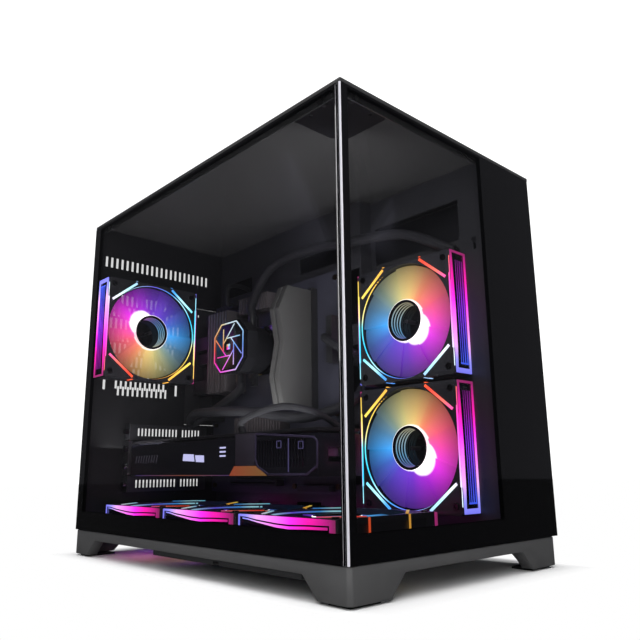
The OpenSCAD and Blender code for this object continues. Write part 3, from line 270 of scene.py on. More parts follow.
# ---- Glass --------------------------------------------------------------------------------
# Two panes of 4 mm tinted tempered glass, held by push-in studs. A black border is printed
# round the inside of each, and the front edges are ground and polished. The edges' light grey,
# opaque colour is a painted highlight.
def box_mask(tree, place, low, high):
    """1 inside a box given in millimetres, and 0 outside it."""
    axes = add_node(tree, "ShaderNodeSeparateXYZ", {"Vector": place.outputs["Object"]})
    result = None
    for axis in range(3):
        for limit, kind in ((low[axis], "GREATER_THAN"), (high[axis], "LESS_THAN")):
            if limit is None:
                continue
            test = add_node(tree, "ShaderNodeMath", {0: axes.outputs[axis], 1: limit * MM},
                            operation=kind).outputs[0]
            if result is not None:
                test = add_node(tree, "ShaderNodeMath", {0: result, 1: test},
                                operation="MULTIPLY").outputs[0]
            result = test
    return result


def either(tree, first, second):
    return add_node(tree, "ShaderNodeMath", {0: first, 1: second}, operation="MAXIMUM").outputs[0]


def tinted_glass(name, clear_low, clear_high, edges):
    """Clear window inside a printed border; on the polished edges inside the given boxes a painted
    highlight: light grey, opaque and rougher.
    """
    made = bpy.data.materials.new(name)
    made.use_nodes = True
    tree = made.node_tree
    skin = tree.nodes["Principled BSDF"]
    place = add_node(tree, "ShaderNodeTexCoord")
    window = box_mask(tree, place, clear_low, clear_high)
    edge = None
    for low, high in edges:
        part = box_mask(tree, place, low, high)
        edge = part if edge is None else either(tree, edge, part)
    smear = add_node(tree, "ShaderNodeTexNoise", {"Vector": place.outputs["Object"], "Scale": 9.0,
                                                  "Detail": 5.0})
    tint = add_node(tree, "ShaderNodeMapRange", {"Value": smear.outputs["Fac"], "To Min": TINT * 0.94,
                                                 "To Max": TINT * 1.06})
    solid = add_node(tree, "ShaderNodeMapRange", {"Value": window, "To Min": 1.0,
                                                  "To Max": tint.outputs["Result"]})
    cover = either(tree, solid.outputs["Result"], edge)
    # On the edge faces the light grey is a painted highlight, not the glass's own colour.
    colour = add_node(tree, "ShaderNodeMix", {"Factor": edge}, data_type="RGBA")
    colour.inputs[6].default_value = (0.0012, 0.0012, 0.0016, 1)
    colour.inputs[7].default_value = (0.52, 0.51, 0.56, 1)
    gloss = add_node(tree, "ShaderNodeMapRange", {"Value": edge, "To Min": 0.03, "To Max": 0.3})
    tree.links.new(colour.outputs[2], skin.inputs["Base Color"])
    tree.links.new(cover, skin.inputs["Alpha"])
    tree.links.new(gloss.outputs["Result"], skin.inputs["Roughness"])
    skin.inputs["IOR"].default_value = 1.5
    return made


TINT = 0.27
side_low, side_high = (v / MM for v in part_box("side_glass"))
front_low, front_high = (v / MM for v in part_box("front_glass"))
PRINT_LOW = 19.5
PRINT_TOP = 2
PRINT_CORNER = 1
PRINT_BACK = 14
PRINT_SIDE = 8
SECOND_CHAMBER = 50
BEVEL = 0.75
# The last argument of each pane lists the boxes of its edge faces, which are painted as a highlight.
dress(tinted_glass("side_pane",
                   (None, side_low.y + PRINT_CORNER, side_low.z + PRINT_LOW),
                   (None, side_high.y - PRINT_BACK, side_high.z - PRINT_TOP),
                   [((None, None, None), (side_low.x + 0.5, side_low.y + 0.3, None))]),
      "side_glass")
dress(tinted_glass("front_pane",
                   (front_low.x + PRINT_SIDE, None, front_low.z + PRINT_LOW),
                   (SECOND_CHAMBER, None, front_high.z - PRINT_TOP),
                   [((None, None, None), (front_low.x + BEVEL, front_low.y + 1.9, None)),
                    ((None, front_high.y - BEVEL, None), (front_low.x + BEVEL, None, None))]),
      "front_glass")
stud_plastic = surface("stud_plastic", (0.02, 0.02, 0.021), 0.5, shine=0.4)
dress(stud_plastic, "side_glass_studs", "front_glass_studs")


# ---- Dust filters -------------------------------------------------------------------------
# Fine nylon mesh in moulded frames: one lies in the roof over the second chamber and the
# other slides in rails under the base, with a finger notch in its outer edge.
BANDS = 3.18


def woven(name, colour, pitch, roughness):
    """Nylon mesh seen as a fine square weave. At scale 1 a wave has BANDS bands in a metre."""
    made = surface(name, colour, roughness, grain=1200, depth=0.1)
    tree = made.node_tree
    place = add_node(tree, "ShaderNodeTexCoord")
    relief = tree.nodes["Bump"]
    height = None
    for direction in ("X", "Y"):
        wave = add_node(tree, "ShaderNodeTexWave", {"Vector": place.outputs["Object"],
                                                    "Scale": 1 / (pitch * MM * BANDS)},
                        wave_type="BANDS", bands_direction=direction)
        height = wave.outputs["Fac"] if height is None else either(tree, height, wave.outputs["Fac"])
    tree.links.new(height, relief.inputs["Height"])
    relief.inputs["Strength"].default_value = 0.5
    return made


dress(woven("nylon_mesh", (0.012, 0.012, 0.013), 1.6, 0.6), "top_dust_filter", "bottom_dust_filter")


# ---- Case fans ----------------------------------------------------------------------------
# Six 120 mm fans of one pattern: square nylon frame with light pipes over its corners and
# an infinity mirror in both side faces, and a nine-blade impeller of milky lit plastic.
# The colours run round the fan, so each fan shows the same rainbow turned its own way.
# The repeats inside both infinity mirrors, the lines in the side faces and the rings down the hub, are
# painted reflections that glow on their own.
FAN = 120.0
HALF = FAN / 2
DEPTH = 25.0
BORE = 58.0
HUB = 21.0
BLADES = 9
SCREW_OUT = 52.5


def fan_place(centre, right, up):
    """Turns and moves a fan drawn with its lit face on +Z, right on +X and top on +Y."""
    right, up = Vector(right), Vector(up)
    out = right.cross(up)
    turn = Matrix((right, up, out)).transposed().to_4x4()
    return Matrix.Translation(Vector(centre) * MM) @ turn


def middle(node):
    low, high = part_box(node)
    return (low + high) / 2 / MM


rear_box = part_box("rear_fan_frame")
rear_mid = middle("rear_fan_frame")
side_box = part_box("side_fan_frames")
bottom_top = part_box("bottom_fan_frames")[1].z / MM
FANS = [("rear_fan", "rear_fan_rotor",
         fan_place((rear_mid.x, rear_box[0].y / MM, rear_mid.z), (1, 0, 0), (0, 0, 1)))]
for number in (1, 2):
    rotor = f"side_fan_rotor_{number}"
    spot = middle(rotor)
    FANS.append((f"side_fan_{number}", rotor,
                 fan_place((side_box[0].x / MM, spot.y, spot.z), (0, 1, 0), (0, 0, -1))))
for number in (1, 2, 3):
    rotor = f"bottom_fan_rotor_{number}"
    spot = middle(rotor)
    FANS.append((f"bottom_fan_{number}", rotor,
                 fan_place((spot.x, spot.y, bottom_top), (1, 0, 0), (0, 1, 0))))


def local_place(tree, placement):
    """Coordinates of a fan's own drawing, in metres, read on the finished piece."""
    spot, turn, _ = placement.decompose()
    place = add_node(tree, "ShaderNodeTexCoord")
    return add_node(tree, "ShaderNodeMapping",
                    {"Vector": place.outputs["Object"], "Location": spot,
                     "Rotation": turn.to_euler()}, vector_type="TEXTURE").outputs[0]


def colour_wheel(tree, vector, stops):
    """Colours set by the angle round the fan, in degrees from its right-hand side."""
    turn = add_node(tree, "ShaderNodeTexGradient", {"Vector": vector}, gradient_type="RADIAL")
    return colour_ramp(tree, turn.outputs["Fac"],
                       [((angle / 360 + 0.5) % 1.0, colour) for angle, colour in stops])


def colour_ramp(tree, factor, stops):
    ramp = add_node(tree, "ShaderNodeValToRGB", {"Fac": factor})
    stops = sorted(stops)
    while len(ramp.color_ramp.elements) > 1:
        ramp.color_ramp.elements.remove(ramp.color_ramp.elements[0])
    ramp.color_ramp.elements[0].position = stops[0][0]
    ramp.color_ramp.elements[0].color = (*stops[0][1], 1)
    for position, colour in stops[1:]:
        ramp.color_ramp.elements.new(position).color = (*colour, 1)
    return ramp.outputs["Color"]


def lit(name, strength, alpha=1.0):
    made = bpy.data.materials.new(name)
    made.use_nodes = True
    tree = made.node_tree
    skin = tree.nodes["Principled BSDF"]
    skin.inputs["Base Color"].default_value = (0.02, 0.02, 0.02, 1)
    skin.inputs["Roughness"].default_value = 0.4
    skin.inputs["Specular IOR Level"].default_value = 0.2
    skin.inputs["Emission Strength"].default_value = strength
    skin.inputs["Alpha"].default_value = alpha
    return made, tree, skin


# Colours round the impeller, in degrees from the fan's right-hand side, against the clock
BLADE_WHEEL = [(-179.9, (0.65, 0.045, 0.28)), (-158, (0.60, 0.07, 0.13)), (-130, (0.49, 0.13, 0.07)),
               (-102, (0.46, 0.30, 0.10)), (-75, (0.35, 0.31, 0.12)), (-50, (0.13, 0.18, 0.14)),
               (-25, (0.05, 0.15, 0.27)), (0, (0.03, 0.22, 0.55)), (24, (0.03, 0.08, 0.34)),
               (50, (0.06, 0.03, 0.33)), (90, (0.10, 0.018, 0.34)), (120, (0.25, 0.012, 0.42)),
               (148, (0.58, 0.022, 0.57)), (179.9, (0.65, 0.045, 0.28))]
PIPE_WHEEL = [(-179.9, (0.9, 0.15, 0.8)), (-155, (1.0, 0.05, 0.55)), (-138, (1.0, 0.16, 0.12)),
              (-118, (1.0, 0.05, 0.02)), (-90, (0.8, 0.3, 0.05)), (-62, (1.0, 0.5, 0.06)),
              (-30, (1.0, 0.75, 0.12)), (-12, (0.9, 0.85, 0.35)), (-2, (0.12, 0.80, 0.95)),
              (25, (0.02, 0.62, 1.0)), (38, (0.35, 0.85, 1.0)), (50, (0.45, 0.9, 1.0)),
              (62, (0.05, 0.35, 0.85)), (90, (0.15, 0.1, 0.8)), (125, (0.45, 0.85, 1.0)),
              (142, (0.8, 0.95, 1.0)), (160, (0.8, 0.4, 0.95)), (179.9, (0.9, 0.15, 0.8))]
# Colours of the rings down the hub's well, which are painted reflections.
WELL_REFLECTION_WHEEL = [(-179.9, (0.12, 0.10, 0.12)), (-120, (0.30, 0.24, 0.14)), (-60, (0.50, 0.50, 0.36)),
              (-20, (0.40, 0.62, 0.74)), (20, (0.18, 0.50, 0.80)), (60, (0.16, 0.24, 0.66)),
              (100, (0.36, 0.12, 0.42)), (179.9, (0.12, 0.10, 0.12))]
STRIP_RUN = [(0.0, (0.20, 0.015, 0.09)), (0.08, (0.45, 0.01, 0.20)), (0.25, (0.95, 0.01, 0.42)),
             (0.42, (1.0, 0.03, 0.85)), (0.62, (1.0, 0.22, 0.92)), (0.78, (0.85, 0.42, 1.0)),
             (0.90, (0.28, 0.28, 0.95)), (1.0, (0.16, 0.16, 0.75))]
# Colours of the painted reflections repeated inside the side mirrors' borders.
REFLECTION_RUN = [(0.0, (0.05, 0.0, 0.05)), (0.25, (0.22, 0.0, 0.25)), (0.5, (0.22, 0.02, 0.75)),
              (0.75, (0.06, 0.05, 0.6)), (1.0, (0.03, 0.10, 0.75))]


CRESCENT = (-12.5, 10.0)


def blade_light(name, placement, cover):
    """Milky plastic lit from the hub: a white-hot crescent beside it, full colour outside."""
    made, tree, skin = lit(name, 2.0, cover)
    here = local_place(tree, placement)
    wheel = colour_wheel(tree, here, BLADE_WHEEL)
    flat = add_node(tree, "ShaderNodeVectorMath", {0: here, 1: (1, 1, 0)}, operation="MULTIPLY")
    reach = add_node(tree, "ShaderNodeVectorMath", {0: flat.outputs[0]}, operation="LENGTH")
    aside = add_node(tree, "ShaderNodeVectorMath",
                     {0: flat.outputs[0], 1: (CRESCENT[0] * MM, CRESCENT[1] * MM, 0)},
                     operation="DISTANCE")
    glow = add_node(tree, "ShaderNodeMapRange", {"Value": reach.outputs["Value"],
                                                 "From Min": 20.5 * MM, "From Max": 22.8 * MM,
                                                 "To Min": 0.9, "To Max": 0.0})
    hot = add_node(tree, "ShaderNodeMapRange", {"Value": aside.outputs["Value"],
                                                "From Min": 14.0 * MM, "From Max": 17.0 * MM,
                                                "To Min": 0.95, "To Max": 0.0})
    white_hot = either(tree, glow.outputs["Result"], hot.outputs["Result"])
    colour = add_node(tree, "ShaderNodeMix", {"Factor": white_hot}, data_type="RGBA")
    tree.links.new(wheel, colour.inputs[6])
    colour.inputs[7].default_value = (1.0, 0.93, 0.95, 1)
    dim = add_node(tree, "ShaderNodeMapRange", {"Value": reach.outputs["Value"],
                                                "From Min": 24 * MM, "From Max": 56 * MM,
                                                "To Min": 1.9, "To Max": 0.5})
    toned = add_node(tree, "ShaderNodeVectorMath",
                     {0: colour.outputs[2], "Scale": dim.outputs["Result"]}, operation="SCALE")
    tree.links.new(toned.outputs[0], skin.inputs["Emission Color"])
    return made


def wheel_light(name, placement, wheel, strength):
    made, tree, skin = lit(name, strength)
    tree.links.new(colour_wheel(tree, local_place(tree, placement), wheel),
                   skin.inputs["Emission Color"])
    return made


def run_light(name, placement, stops, strength, axis="Y", span=(-HALF, HALF)):
    """Light that changes colour along one direction of a drawing."""
    made, tree, skin = lit(name, strength)
    axes = add_node(tree, "ShaderNodeSeparateXYZ", {"Vector": local_place(tree, placement)})
    along = add_node(tree, "ShaderNodeMapRange", {"Value": axes.outputs[axis], "From Min": span[0] * MM,
                                                  "From Max": span[1] * MM})
    tree.links.new(colour_ramp(tree, along.outputs["Result"], stops), skin.inputs["Emission Color"])
    return made


def bar(name, start, end, width, height, lift=0.0):
    """Rounded bar in the XY plane between two points, standing on z = lift."""
    start, end = Vector(start), Vector(end)
    length = (end - start).length
    angle = math.atan2(end.y - start.y, end.x - start.x)
    centre = (start + end) / 2
    bpy.ops.mesh.primitive_cube_add(size=1)
    piece = bpy.context.object
    piece.name = name
    shape = (Matrix.Translation((centre.x * MM, centre.y * MM, (lift + height / 2) * MM))
             @ Matrix.Rotation(angle, 4, "Z")
             @ Matrix.Diagonal((length * MM, width * MM, height * MM, 1)))
    piece.data.transform(shape)
    round_edges(piece, min(width, height) * 0.22)
    return piece


def joined(name, parts):
    bpy.ops.object.select_all(action="DESELECT")
    for part in parts:
        part.select_set(True)
    bpy.context.view_layer.objects.active = parts[0]
    bpy.ops.object.join()
    parts[0].name = name
    parts[0].data.name = name
    bpy.ops.object.select_all(action="DESELECT")
    return parts[0]


def ring(name, inner, outer, low, high, steps=72):
    """Turned ring round the Z axis, from a profile edge spun through a full turn."""
    bpy.ops.mesh.primitive_plane_add(size=1)
    piece = bpy.context.object
    piece.name = name
    piece.data.transform(
        Matrix.Translation(((inner + outer) / 2 * MM, 0, (low + high) / 2 * MM))
        @ Matrix.Diagonal(((outer - inner) * MM, 1, (high - low) * MM, 1))
        @ Matrix.Rotation(math.radians(90), 4, "X"))
    edit(piece)
    bpy.ops.mesh.spin(steps=steps, angle=math.tau, center=(0, 0, 0), axis=(0, 0, 1))
    bpy.ops.mesh.select_all(action="SELECT")
    bpy.ops.mesh.remove_doubles(threshold=1e-6)
    bpy.ops.mesh.normals_make_consistent(inside=False)
    leave_edit()
    bpy.context.view_layer.objects.active = piece
    piece.select_set(True)
    bpy.ops.object.shade_smooth_by_angle(angle=math.radians(35))
    bpy.ops.object.select_all(action="DESELECT")
    return piece


def blade(name):
    """One impeller blade: a sector spun from a radial edge, pitched and given its wall."""
    bpy.ops.mesh.primitive_grid_add(x_subdivisions=6, y_subdivisions=1, size=1)
    piece = bpy.context.object
    piece.name = name
    edit(piece)
    bpy.ops.mesh.select_all(action="DESELECT")
    shell = bmesh.from_edit_mesh(piece.data)
    for vertex in shell.verts:
        vertex.select = vertex.co.y > 0
    shell.select_flush(True)
    bmesh.update_edit_mesh(piece.data)
    bpy.ops.mesh.delete(type="VERT")
    leave_edit()
    inner, outer = HUB - 0.5, BORE - 1.6
    piece.data.transform(Matrix.Translation(((inner + outer) / 2 * MM, 0, 0))
                         @ Matrix.Diagonal(((outer - inner) * MM, 0, 1, 1)))
    edit(piece)
    bpy.ops.mesh.spin(steps=14, angle=math.radians(60), center=(0, 0, 0), axis=(0, 0, 1))
    bpy.ops.mesh.select_all(action="SELECT")
    bpy.ops.mesh.remove_doubles(threshold=1e-6)
    leave_edit()
    low_z, high_z = -9.5, -4.5
    mesh = piece.data
    turns = [math.atan2(v.co.y, v.co.x) for v in mesh.vertices]
    first, last = min(turns), max(turns)
    # The blade climbs along its sweep, with a slight belly, and is flatter at its root
    for vertex, turn in zip(mesh.vertices, turns):
        share = (turn - first) / (last - first)
        rise = share + 0.10 * math.sin(math.pi * share)
        reach = math.hypot(vertex.co.x, vertex.co.y) / MM
        flat = 0.72 + 0.28 * (reach - HUB) / (BORE - HUB)
        vertex.co.z = ((low_z + high_z) / 2 + (high_z - low_z) * (rise - 0.53) * flat) * MM
    bpy.context.view_layer.objects.active = piece
    piece.select_set(True)
    wall = piece.modifiers.new("wall", "SOLIDIFY")
    wall.thickness = 1.1 * MM
    wall.offset = 0
    bpy.ops.object.modifier_apply(modifier="wall")
    bpy.ops.object.shade_smooth_by_angle(angle=math.radians(40))
    bpy.ops.object.select_all(action="DESELECT")
    return piece


def copied(piece, name, matrix):
    made = piece.copy()
    made.data = piece.data.copy()
    made.name = name
    made.data.name = name
    made.data.transform(matrix)
    if matrix.determinant() < 0:
        made.data.flip_normals()
    bpy.context.scene.collection.objects.link(made)
    return made


def impeller_pattern():
    first = blade("blade")
    blades = [first] + [copied(first, "blade", Matrix.Rotation(math.tau * i / BLADES, 4, "Z"))
                        for i in range(1, BLADES)]
    return joined("impeller_pattern", blades + [ring("collar", HUB - 0.1, HUB + 0.6, -9.0, -2.5)])


def select_top(piece):
    """Leaves only the upward faces selected, in edit mode."""
    bpy.ops.mesh.select_all(action="DESELECT")
    shell = bmesh.from_edit_mesh(piece.data)
    for face in shell.faces:
        face.select = face.normal.z > 0.9
    bmesh.update_edit_mesh(piece.data)


def hub_pattern():
    """Hub cup with a deep well, whose wall carries the rings of the infinity mirror; those rings are
    made in arcs_pattern as painted reflections.
    """
    cup = ring("cup", 18.6, HUB, -20.5, -3.0)
    rim = ring("rim", 18.4, HUB, -3.0, -2.2)
    bpy.ops.mesh.primitive_cylinder_add(vertices=72, radius=18.8 * MM, depth=1.2 * MM,
                                        location=(0, 0, -19.6 * MM))
    well_floor = bpy.context.object
    edit(well_floor)
    select_top(well_floor)
    bpy.ops.mesh.inset(thickness=6 * MM)
    bpy.ops.mesh.extrude_region_move(TRANSFORM_OT_translate={"value": (0, 0, 0.6 * MM)})
    leave_edit()
    well_floor.data.transform(well_floor.matrix_world)
    well_floor.matrix_world = Matrix.Identity(4)
    return joined("hub_pattern", [cup, rim, well_floor])


# Glowing rings down the hub's well: the lit ring and its repeats in the infinity mirror, painted as
# rings that glow on their own.
def arcs_pattern():
    rings = [ring("arc", 18.05, 18.55, -5.4 - i * 4.2, -4.2 - i * 4.2, 48) for i in range(4)]
    return joined("arcs_pattern", rings)


def pipes_pattern(edge_lines=True):
    """Corner bars with tails over the frame's edge, the ring in the bore and the edge lines."""
    parts = []
    for sx in (-1, 1):
        for sy in (-1, 1):
            parts.append(bar("corner_bar", (sx * 54.5, sy * 33), (sx * 24, sy * 57.5), 2.6, 0.7))
            drop = bar("tail", (0, 0), (12, 0), 2.2, 0.5)
            drop.data.transform(Matrix.Translation((sx * 24 * MM, sy * HALF * MM, 0))
                                @ Matrix.Rotation(math.radians(-90 * sy), 4, "X")
                                @ Matrix.Rotation(math.radians(90 * sy), 4, "Z"))
            parts.append(drop)
        if edge_lines:
            parts.append(bar("edge_line", (sx * (HALF - 0.8), -36), (sx * (HALF - 0.8), 36), 1.5, 0.6))
            parts.append(bar("edge_line", (sx * (HALF - 0.4), -53), (sx * (HALF - 0.4), 53), 0.7, 0.4))
    parts.append(ring("bore_ring", BORE - 0.25, BORE + 0.5, -3.2, -1.8, 96))
    return joined("pipes_pattern", parts)


def plate(name, points, thick, soft=0.15, lift=0.0):
    """Flat plate with the given outline, standing on z = lift."""
    bpy.ops.mesh.primitive_circle_add(vertices=len(points), radius=1, fill_type="NGON")
    piece = bpy.context.object
    piece.name = name
    for vertex, (x, y) in zip(piece.data.vertices, points):
        vertex.co = (x * MM, y * MM, lift * MM)
    edit(piece)
    bpy.ops.mesh.extrude_region_move(TRANSFORM_OT_translate={"value": (0, 0, thick * MM)})
    bpy.ops.mesh.select_all(action="SELECT")
    bpy.ops.mesh.normals_make_consistent(inside=False)
    leave_edit()
    round_edges(piece, soft)
    return piece


def strip_pattern():
    """Lit border of one side face, drawn flat: length on Y, the lit face towards +X."""
    broad = plate("broad_side", [(12.3, -59), (9.6, -57), (8.6, -30), (7.6, 0), (7.9, 36), (8.8, 58),
                                 (11.6, 59), (11.6, 37), (12.4, 36), (12.4, -28), (11.8, -30),
                                 (11.8, -57)], 0.9)
    return joined("strip_pattern", [
        broad, bar("far_side", (-10.9, -58.6), (-10.9, 59), 2.4, 0.9),
        bar("thin_end", (-12, -58), (12, -58), 2.2, 0.9),
        bar("thick_end", (-11.5, 56.8), (11.5, 56.8), 4.6, 0.9)])


def streak_pattern():
    """Painted reflections: the nested lines that the infinity mirror repeats inside its border, drawn as
    bars that glow on their own.
    """
    parts = [bar("streak", (x, -50), (x - 1.0, 50), width, 0.35, 0.4)
             for x, width in ((-6.0, 1.7), (-2.4, 1.5), (1.0, 1.0), (4.0, 0.7))]
    parts.append(bar("streak_end", (4.0, 50), (-8.0, 50), 1.6, 0.35, 0.4))
    return joined("streak_pattern", parts)


def floor_strip_pattern():
    """Lit border of a floor fan's side face: a broad upper band that swells along it."""
    band = plate("band", [(12.2, -55), (7.8, -54), (7.4, -30), (6.5, -8), (6.9, 8), (8.7, 34),
                          (10.2, 48), (10.4, 58), (12.2, 58)], 0.9)
    return joined("floor_strip_pattern", [
        band, bar("front_end", (-12, -57), (12, -57), 6.0, 0.9),
        bar("rear_end", (12, 58), (-6, 58), 1.8, 0.9)])


def floor_streak_pattern():
    """Painted reflection: the second line of the mirror, a plate that glows on its own and follows the
    band below it.
    """
    return plate("floor_streak_pattern",
                 [(6.5, -52), (6.1, -30), (5.2, -8), (5.6, 8), (7.4, 34), (9.0, 46), (9.4, 53),
                  (8.4, 53), (8.0, 46), (6.2, 32), (3.6, 8), (3.0, -8), (4.0, -30), (4.6, -52)],
                 0.35, 0.1, 0.4)


def mirror_pattern():
    """Dark mirror between the lit borders."""
    return plate("mirror_pattern", [(-9.5, -56), (10.5, -56), (10.5, 55), (-9.5, 55)], 0.35, 0.1)


def screw_pattern():
    """Four pan-head screws with a recess, in the corners of a fan's frame."""
    heads = []
    for x in (-SCREW_OUT, SCREW_OUT):
        for y in (-SCREW_OUT, SCREW_OUT):
            bpy.ops.mesh.primitive_cylinder_add(vertices=24, radius=3.1 * MM, depth=1.2 * MM)
            head = bpy.context.object
            edit(head)
            select_top(head)
            bpy.ops.mesh.inset(thickness=1.5 * MM)
            bpy.ops.mesh.extrude_region_move(TRANSFORM_OT_translate={"value": (0, 0, -0.7 * MM)})
            leave_edit()
            round_edges(head, 0.25)
            head.data.transform(Matrix.Translation((x * MM, y * MM, 0.6 * MM)))
            heads.append(head)
    return joined("screw_pattern", heads)


frame_nylon = surface("frame_nylon", (0.013, 0.013, 0.016), 0.42, grain=1000, depth=0.2, mottle=0.2)
hub_black = surface("hub_black", (0.004, 0.004, 0.005), 0.12, grain=400, depth=0.03)
mirror_black = surface("mirror_black", (0.003, 0.002, 0.008), 0.08, grain=400, depth=0.02)
softened("rear_fan_frame", "rear_fan_housing", 0.5, frame_nylon)
softened("side_fan_frames", "side_fan_housings", 0.5, frame_nylon)
softened("bottom_fan_frames", "bottom_fan_housings", 0.5, frame_nylon)

impeller = impeller_pattern()
hub = hub_pattern()
arcs = arcs_pattern()
pipes = pipes_pattern()
floor_pipes = pipes_pattern(edge_lines=False)
strip = strip_pattern()
streaks = streak_pattern()
floor_strip = floor_strip_pattern()
floor_streaks = floor_streak_pattern()
mirror = mirror_pattern()
screws = screw_pattern()
hub.data.materials.append(hub_black)
mirror.data.materials.append(mirror_black)
screws.data.materials.append(surface("screw_black", (0.05, 0.05, 0.052), 0.35, metallic=1.0, depth=0.05))

SIDES = {"left": Matrix.Translation((-HALF * MM, 0, -DEPTH / 2 * MM))
         @ Matrix.Rotation(math.radians(-90), 4, "Y"),
         "right": Matrix.Translation((HALF * MM, 0, -DEPTH / 2 * MM))
         @ Matrix.Rotation(math.radians(90), 4, "Y") @ Matrix.Diagonal((-1, 1, 1, 1))}

for body, rotor, placement in FANS:
    blades = copied(impeller, f"{body}_blades", placement)
    cover = 0.62 if body == "rear_fan" else 1.0
    blades.data.materials.append(blade_light(f"{body}_blade_light", placement, cover))
    cup = copied(hub, f"{body}_hub", placement)
    rings = copied(arcs, f"{body}_hub_rings", placement)
    rings.data.materials.append(wheel_light(f"{body}_well_reflection", placement, WELL_REFLECTION_WHEEL, 1.1))
    for piece in (blades, cup, rings):
        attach(piece, body)
    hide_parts(rotor)
    on_floor = body.startswith("bottom")
    pipe_glow = wheel_light(f"{body}_pipe_light", placement, PIPE_WHEEL, 1.0 if on_floor else 2.6)
    corner_pipes = copied(floor_pipes if on_floor else pipes, f"{body}_light_pipes", placement)
    corner_pipes.data.materials.append(pipe_glow)
    heads = copied(screws, f"{body}_screws", placement)
    strip_glow = run_light(f"{body}_strip_light", placement, STRIP_RUN, 2.2)
    reflection_glow = run_light(f"{body}_streak_reflection", placement, REFLECTION_RUN, 2.2)
    fixed = [(corner_pipes, "fan_rotor_light"), (heads, "screw_steel")]
    for side, turn in SIDES.items():
        border = copied(floor_strip if on_floor else strip, f"{body}_{side}_mirror_border",
                        placement @ turn)
        border.data.materials.append(strip_glow)
        # The mirror lines are painted reflections of the lit border.
        lines = copied(floor_streaks if on_floor else streaks, f"{body}_{side}_mirror_reflections",
                       placement @ turn)
        lines.data.materials.append(strip_glow if on_floor else reflection_glow)
        back = copied(mirror, f"{body}_{side}_mirror", placement @ turn)
        fixed += [(border, "fan_rotor_light"), (lines, "fan_rotor_light"), (back, "fan_frame_plastic")]
    for piece, slot in fixed:
        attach(piece, "chassis")

for pattern in (impeller, hub, arcs, pipes, floor_pipes, strip, streaks, floor_strip,
                floor_streaks, mirror, screws):
    bpy.data.objects.remove(pattern)


# ---- Power supply and drives --------------------------------------------------------------
# Steel power supply with a wire guard over its fan, standing behind the tray. A hard drive
# is in the cage above it, and a solid-state drive is fixed to the tray's back.
psu_coat = surface("psu_coat", (0.018, 0.018, 0.020), 0.5, grain=800, depth=0.3)
dress(psu_coat, "psu_body")
chrome_wire = surface("chrome_wire", (0.62, 0.62, 0.64), 0.18, metallic=1.0, depth=0.02)
dress(chrome_wire, "psu_grille")
black_nylon = surface("black_nylon", (0.012, 0.012, 0.013), 0.45, grain=900, depth=0.15)
dress(black_nylon, "psu_fan_rotor", "psu_switch", "mains_inlet", "ram_slots", "pcie_slots",
      "board_connectors", "top_ports")
drive_alloy = surface("drive_alloy", (0.42, 0.42, 0.43), 0.38, metallic=1.0, grain=600, depth=0.08)
dress(drive_alloy, "hard_drive")
dress(psu_coat, "solid_state_drive")


# ---- Motherboard --------------------------------------------------------------------------
# Black glass-fibre board on blackened brass standoffs, with nylon sockets and ports and
# finned alloy heatsinks.
board_mask = surface("board_mask", (0.028, 0.028, 0.040), 0.35, grain=300, depth=0.25, mottle=0.4)
dress(board_mask, "motherboard", "gpu_board")
brass = surface("brass", (0.10, 0.075, 0.04), 0.45, metallic=1.0, depth=0.05)
dress(brass, "standoffs")
port_shell = surface("port_shell", (0.55, 0.55, 0.57), 0.3, metallic=1.0, depth=0.05)
dress(black_nylon, "rear_ports")
anodised = surface("anodised", (0.075, 0.066, 0.072), 0.4, metallic=0.3, grain=700, depth=0.1)
softened("board_heatsinks", "board_cooling_fins", 0.3, anodised)
lid_nickel = surface("lid_nickel", (0.5, 0.5, 0.52), 0.25, metallic=1.0, depth=0.05)
dress(lid_nickel, "cpu_socket")


# ---- Pump ---------------------------------------------------------------------------------
# Round nylon pump with an octagonal mirror cap. Lit lines cross the cap like the blades
# of a shutter, inside a lit outline.
pump_black = surface("pump_black", (0.012, 0.012, 0.014), 0.3, grain=900, depth=0.08)
dress(pump_black, "pump_head")
softened("pump_cap", "pump_mirror_cap", 0.4, hub_black)

PUMP_WHEEL = [(-179.9, (1.0, 0.12, 0.05)), (-155, (0.95, 0.05, 0.35)), (-130, (0.95, 0.02, 0.80)),
              (-95, (0.95, 0.20, 0.90)), (-60, (0.70, 0.50, 1.0)), (-35, (0.30, 0.26, 0.95)),
              (0, (0.14, 0.36, 0.95)), (30, (0.35, 0.65, 1.0)), (60, (0.70, 0.88, 1.0)),
              (90, (0.62, 0.80, 0.88)), (115, (0.80, 0.62, 0.30)), (150, (0.85, 0.36, 0.14)),
              (179.9, (1.0, 0.12, 0.05))]
cap_low, cap_high = (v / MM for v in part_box("pump_cap"))
cap_mid = (cap_low + cap_high) / 2
cap_place = fan_place((cap_low.x, cap_mid.y, cap_mid.z), (0, -1, 0), (0, 0, 1))


def pinwheel():
    """Octagonal outline and the eight sides of an inner octagon, each run out to it."""
    margin = 2.2
    corner_cut = 13.5
    far = (cap_high.z - cap_low.z) / 2 - margin
    near = far - corner_cut
    corners = [(near, -far), (far, -near), (far, near), (near, far),
               (-near, far), (-far, near), (-far, -near), (-near, -far), (near, -far)]
    lines = [bar("outline", a, b, 1.5, 0.5) for a, b in zip(corners, corners[1:])]
    inner = 11.5
    for i in range(8):
        turn = Matrix.Rotation(math.radians(22.5 + 45 * i), 2)
        start = turn @ Vector((inner, 0))
        through = Matrix.Rotation(math.radians(-22.5 + 45 * i), 2) @ Vector((inner, 0))
        along = (through - start).normalized()
        reach = 31 if i % 2 else 27
        lines.append(bar("vane", start, start + along * reach, 1.2, 0.5))
    lines.append(bar("centre_square", (-3.2, 0), (3.2, 0), 6.4, 0.5))
    return joined("pump_lines", lines)


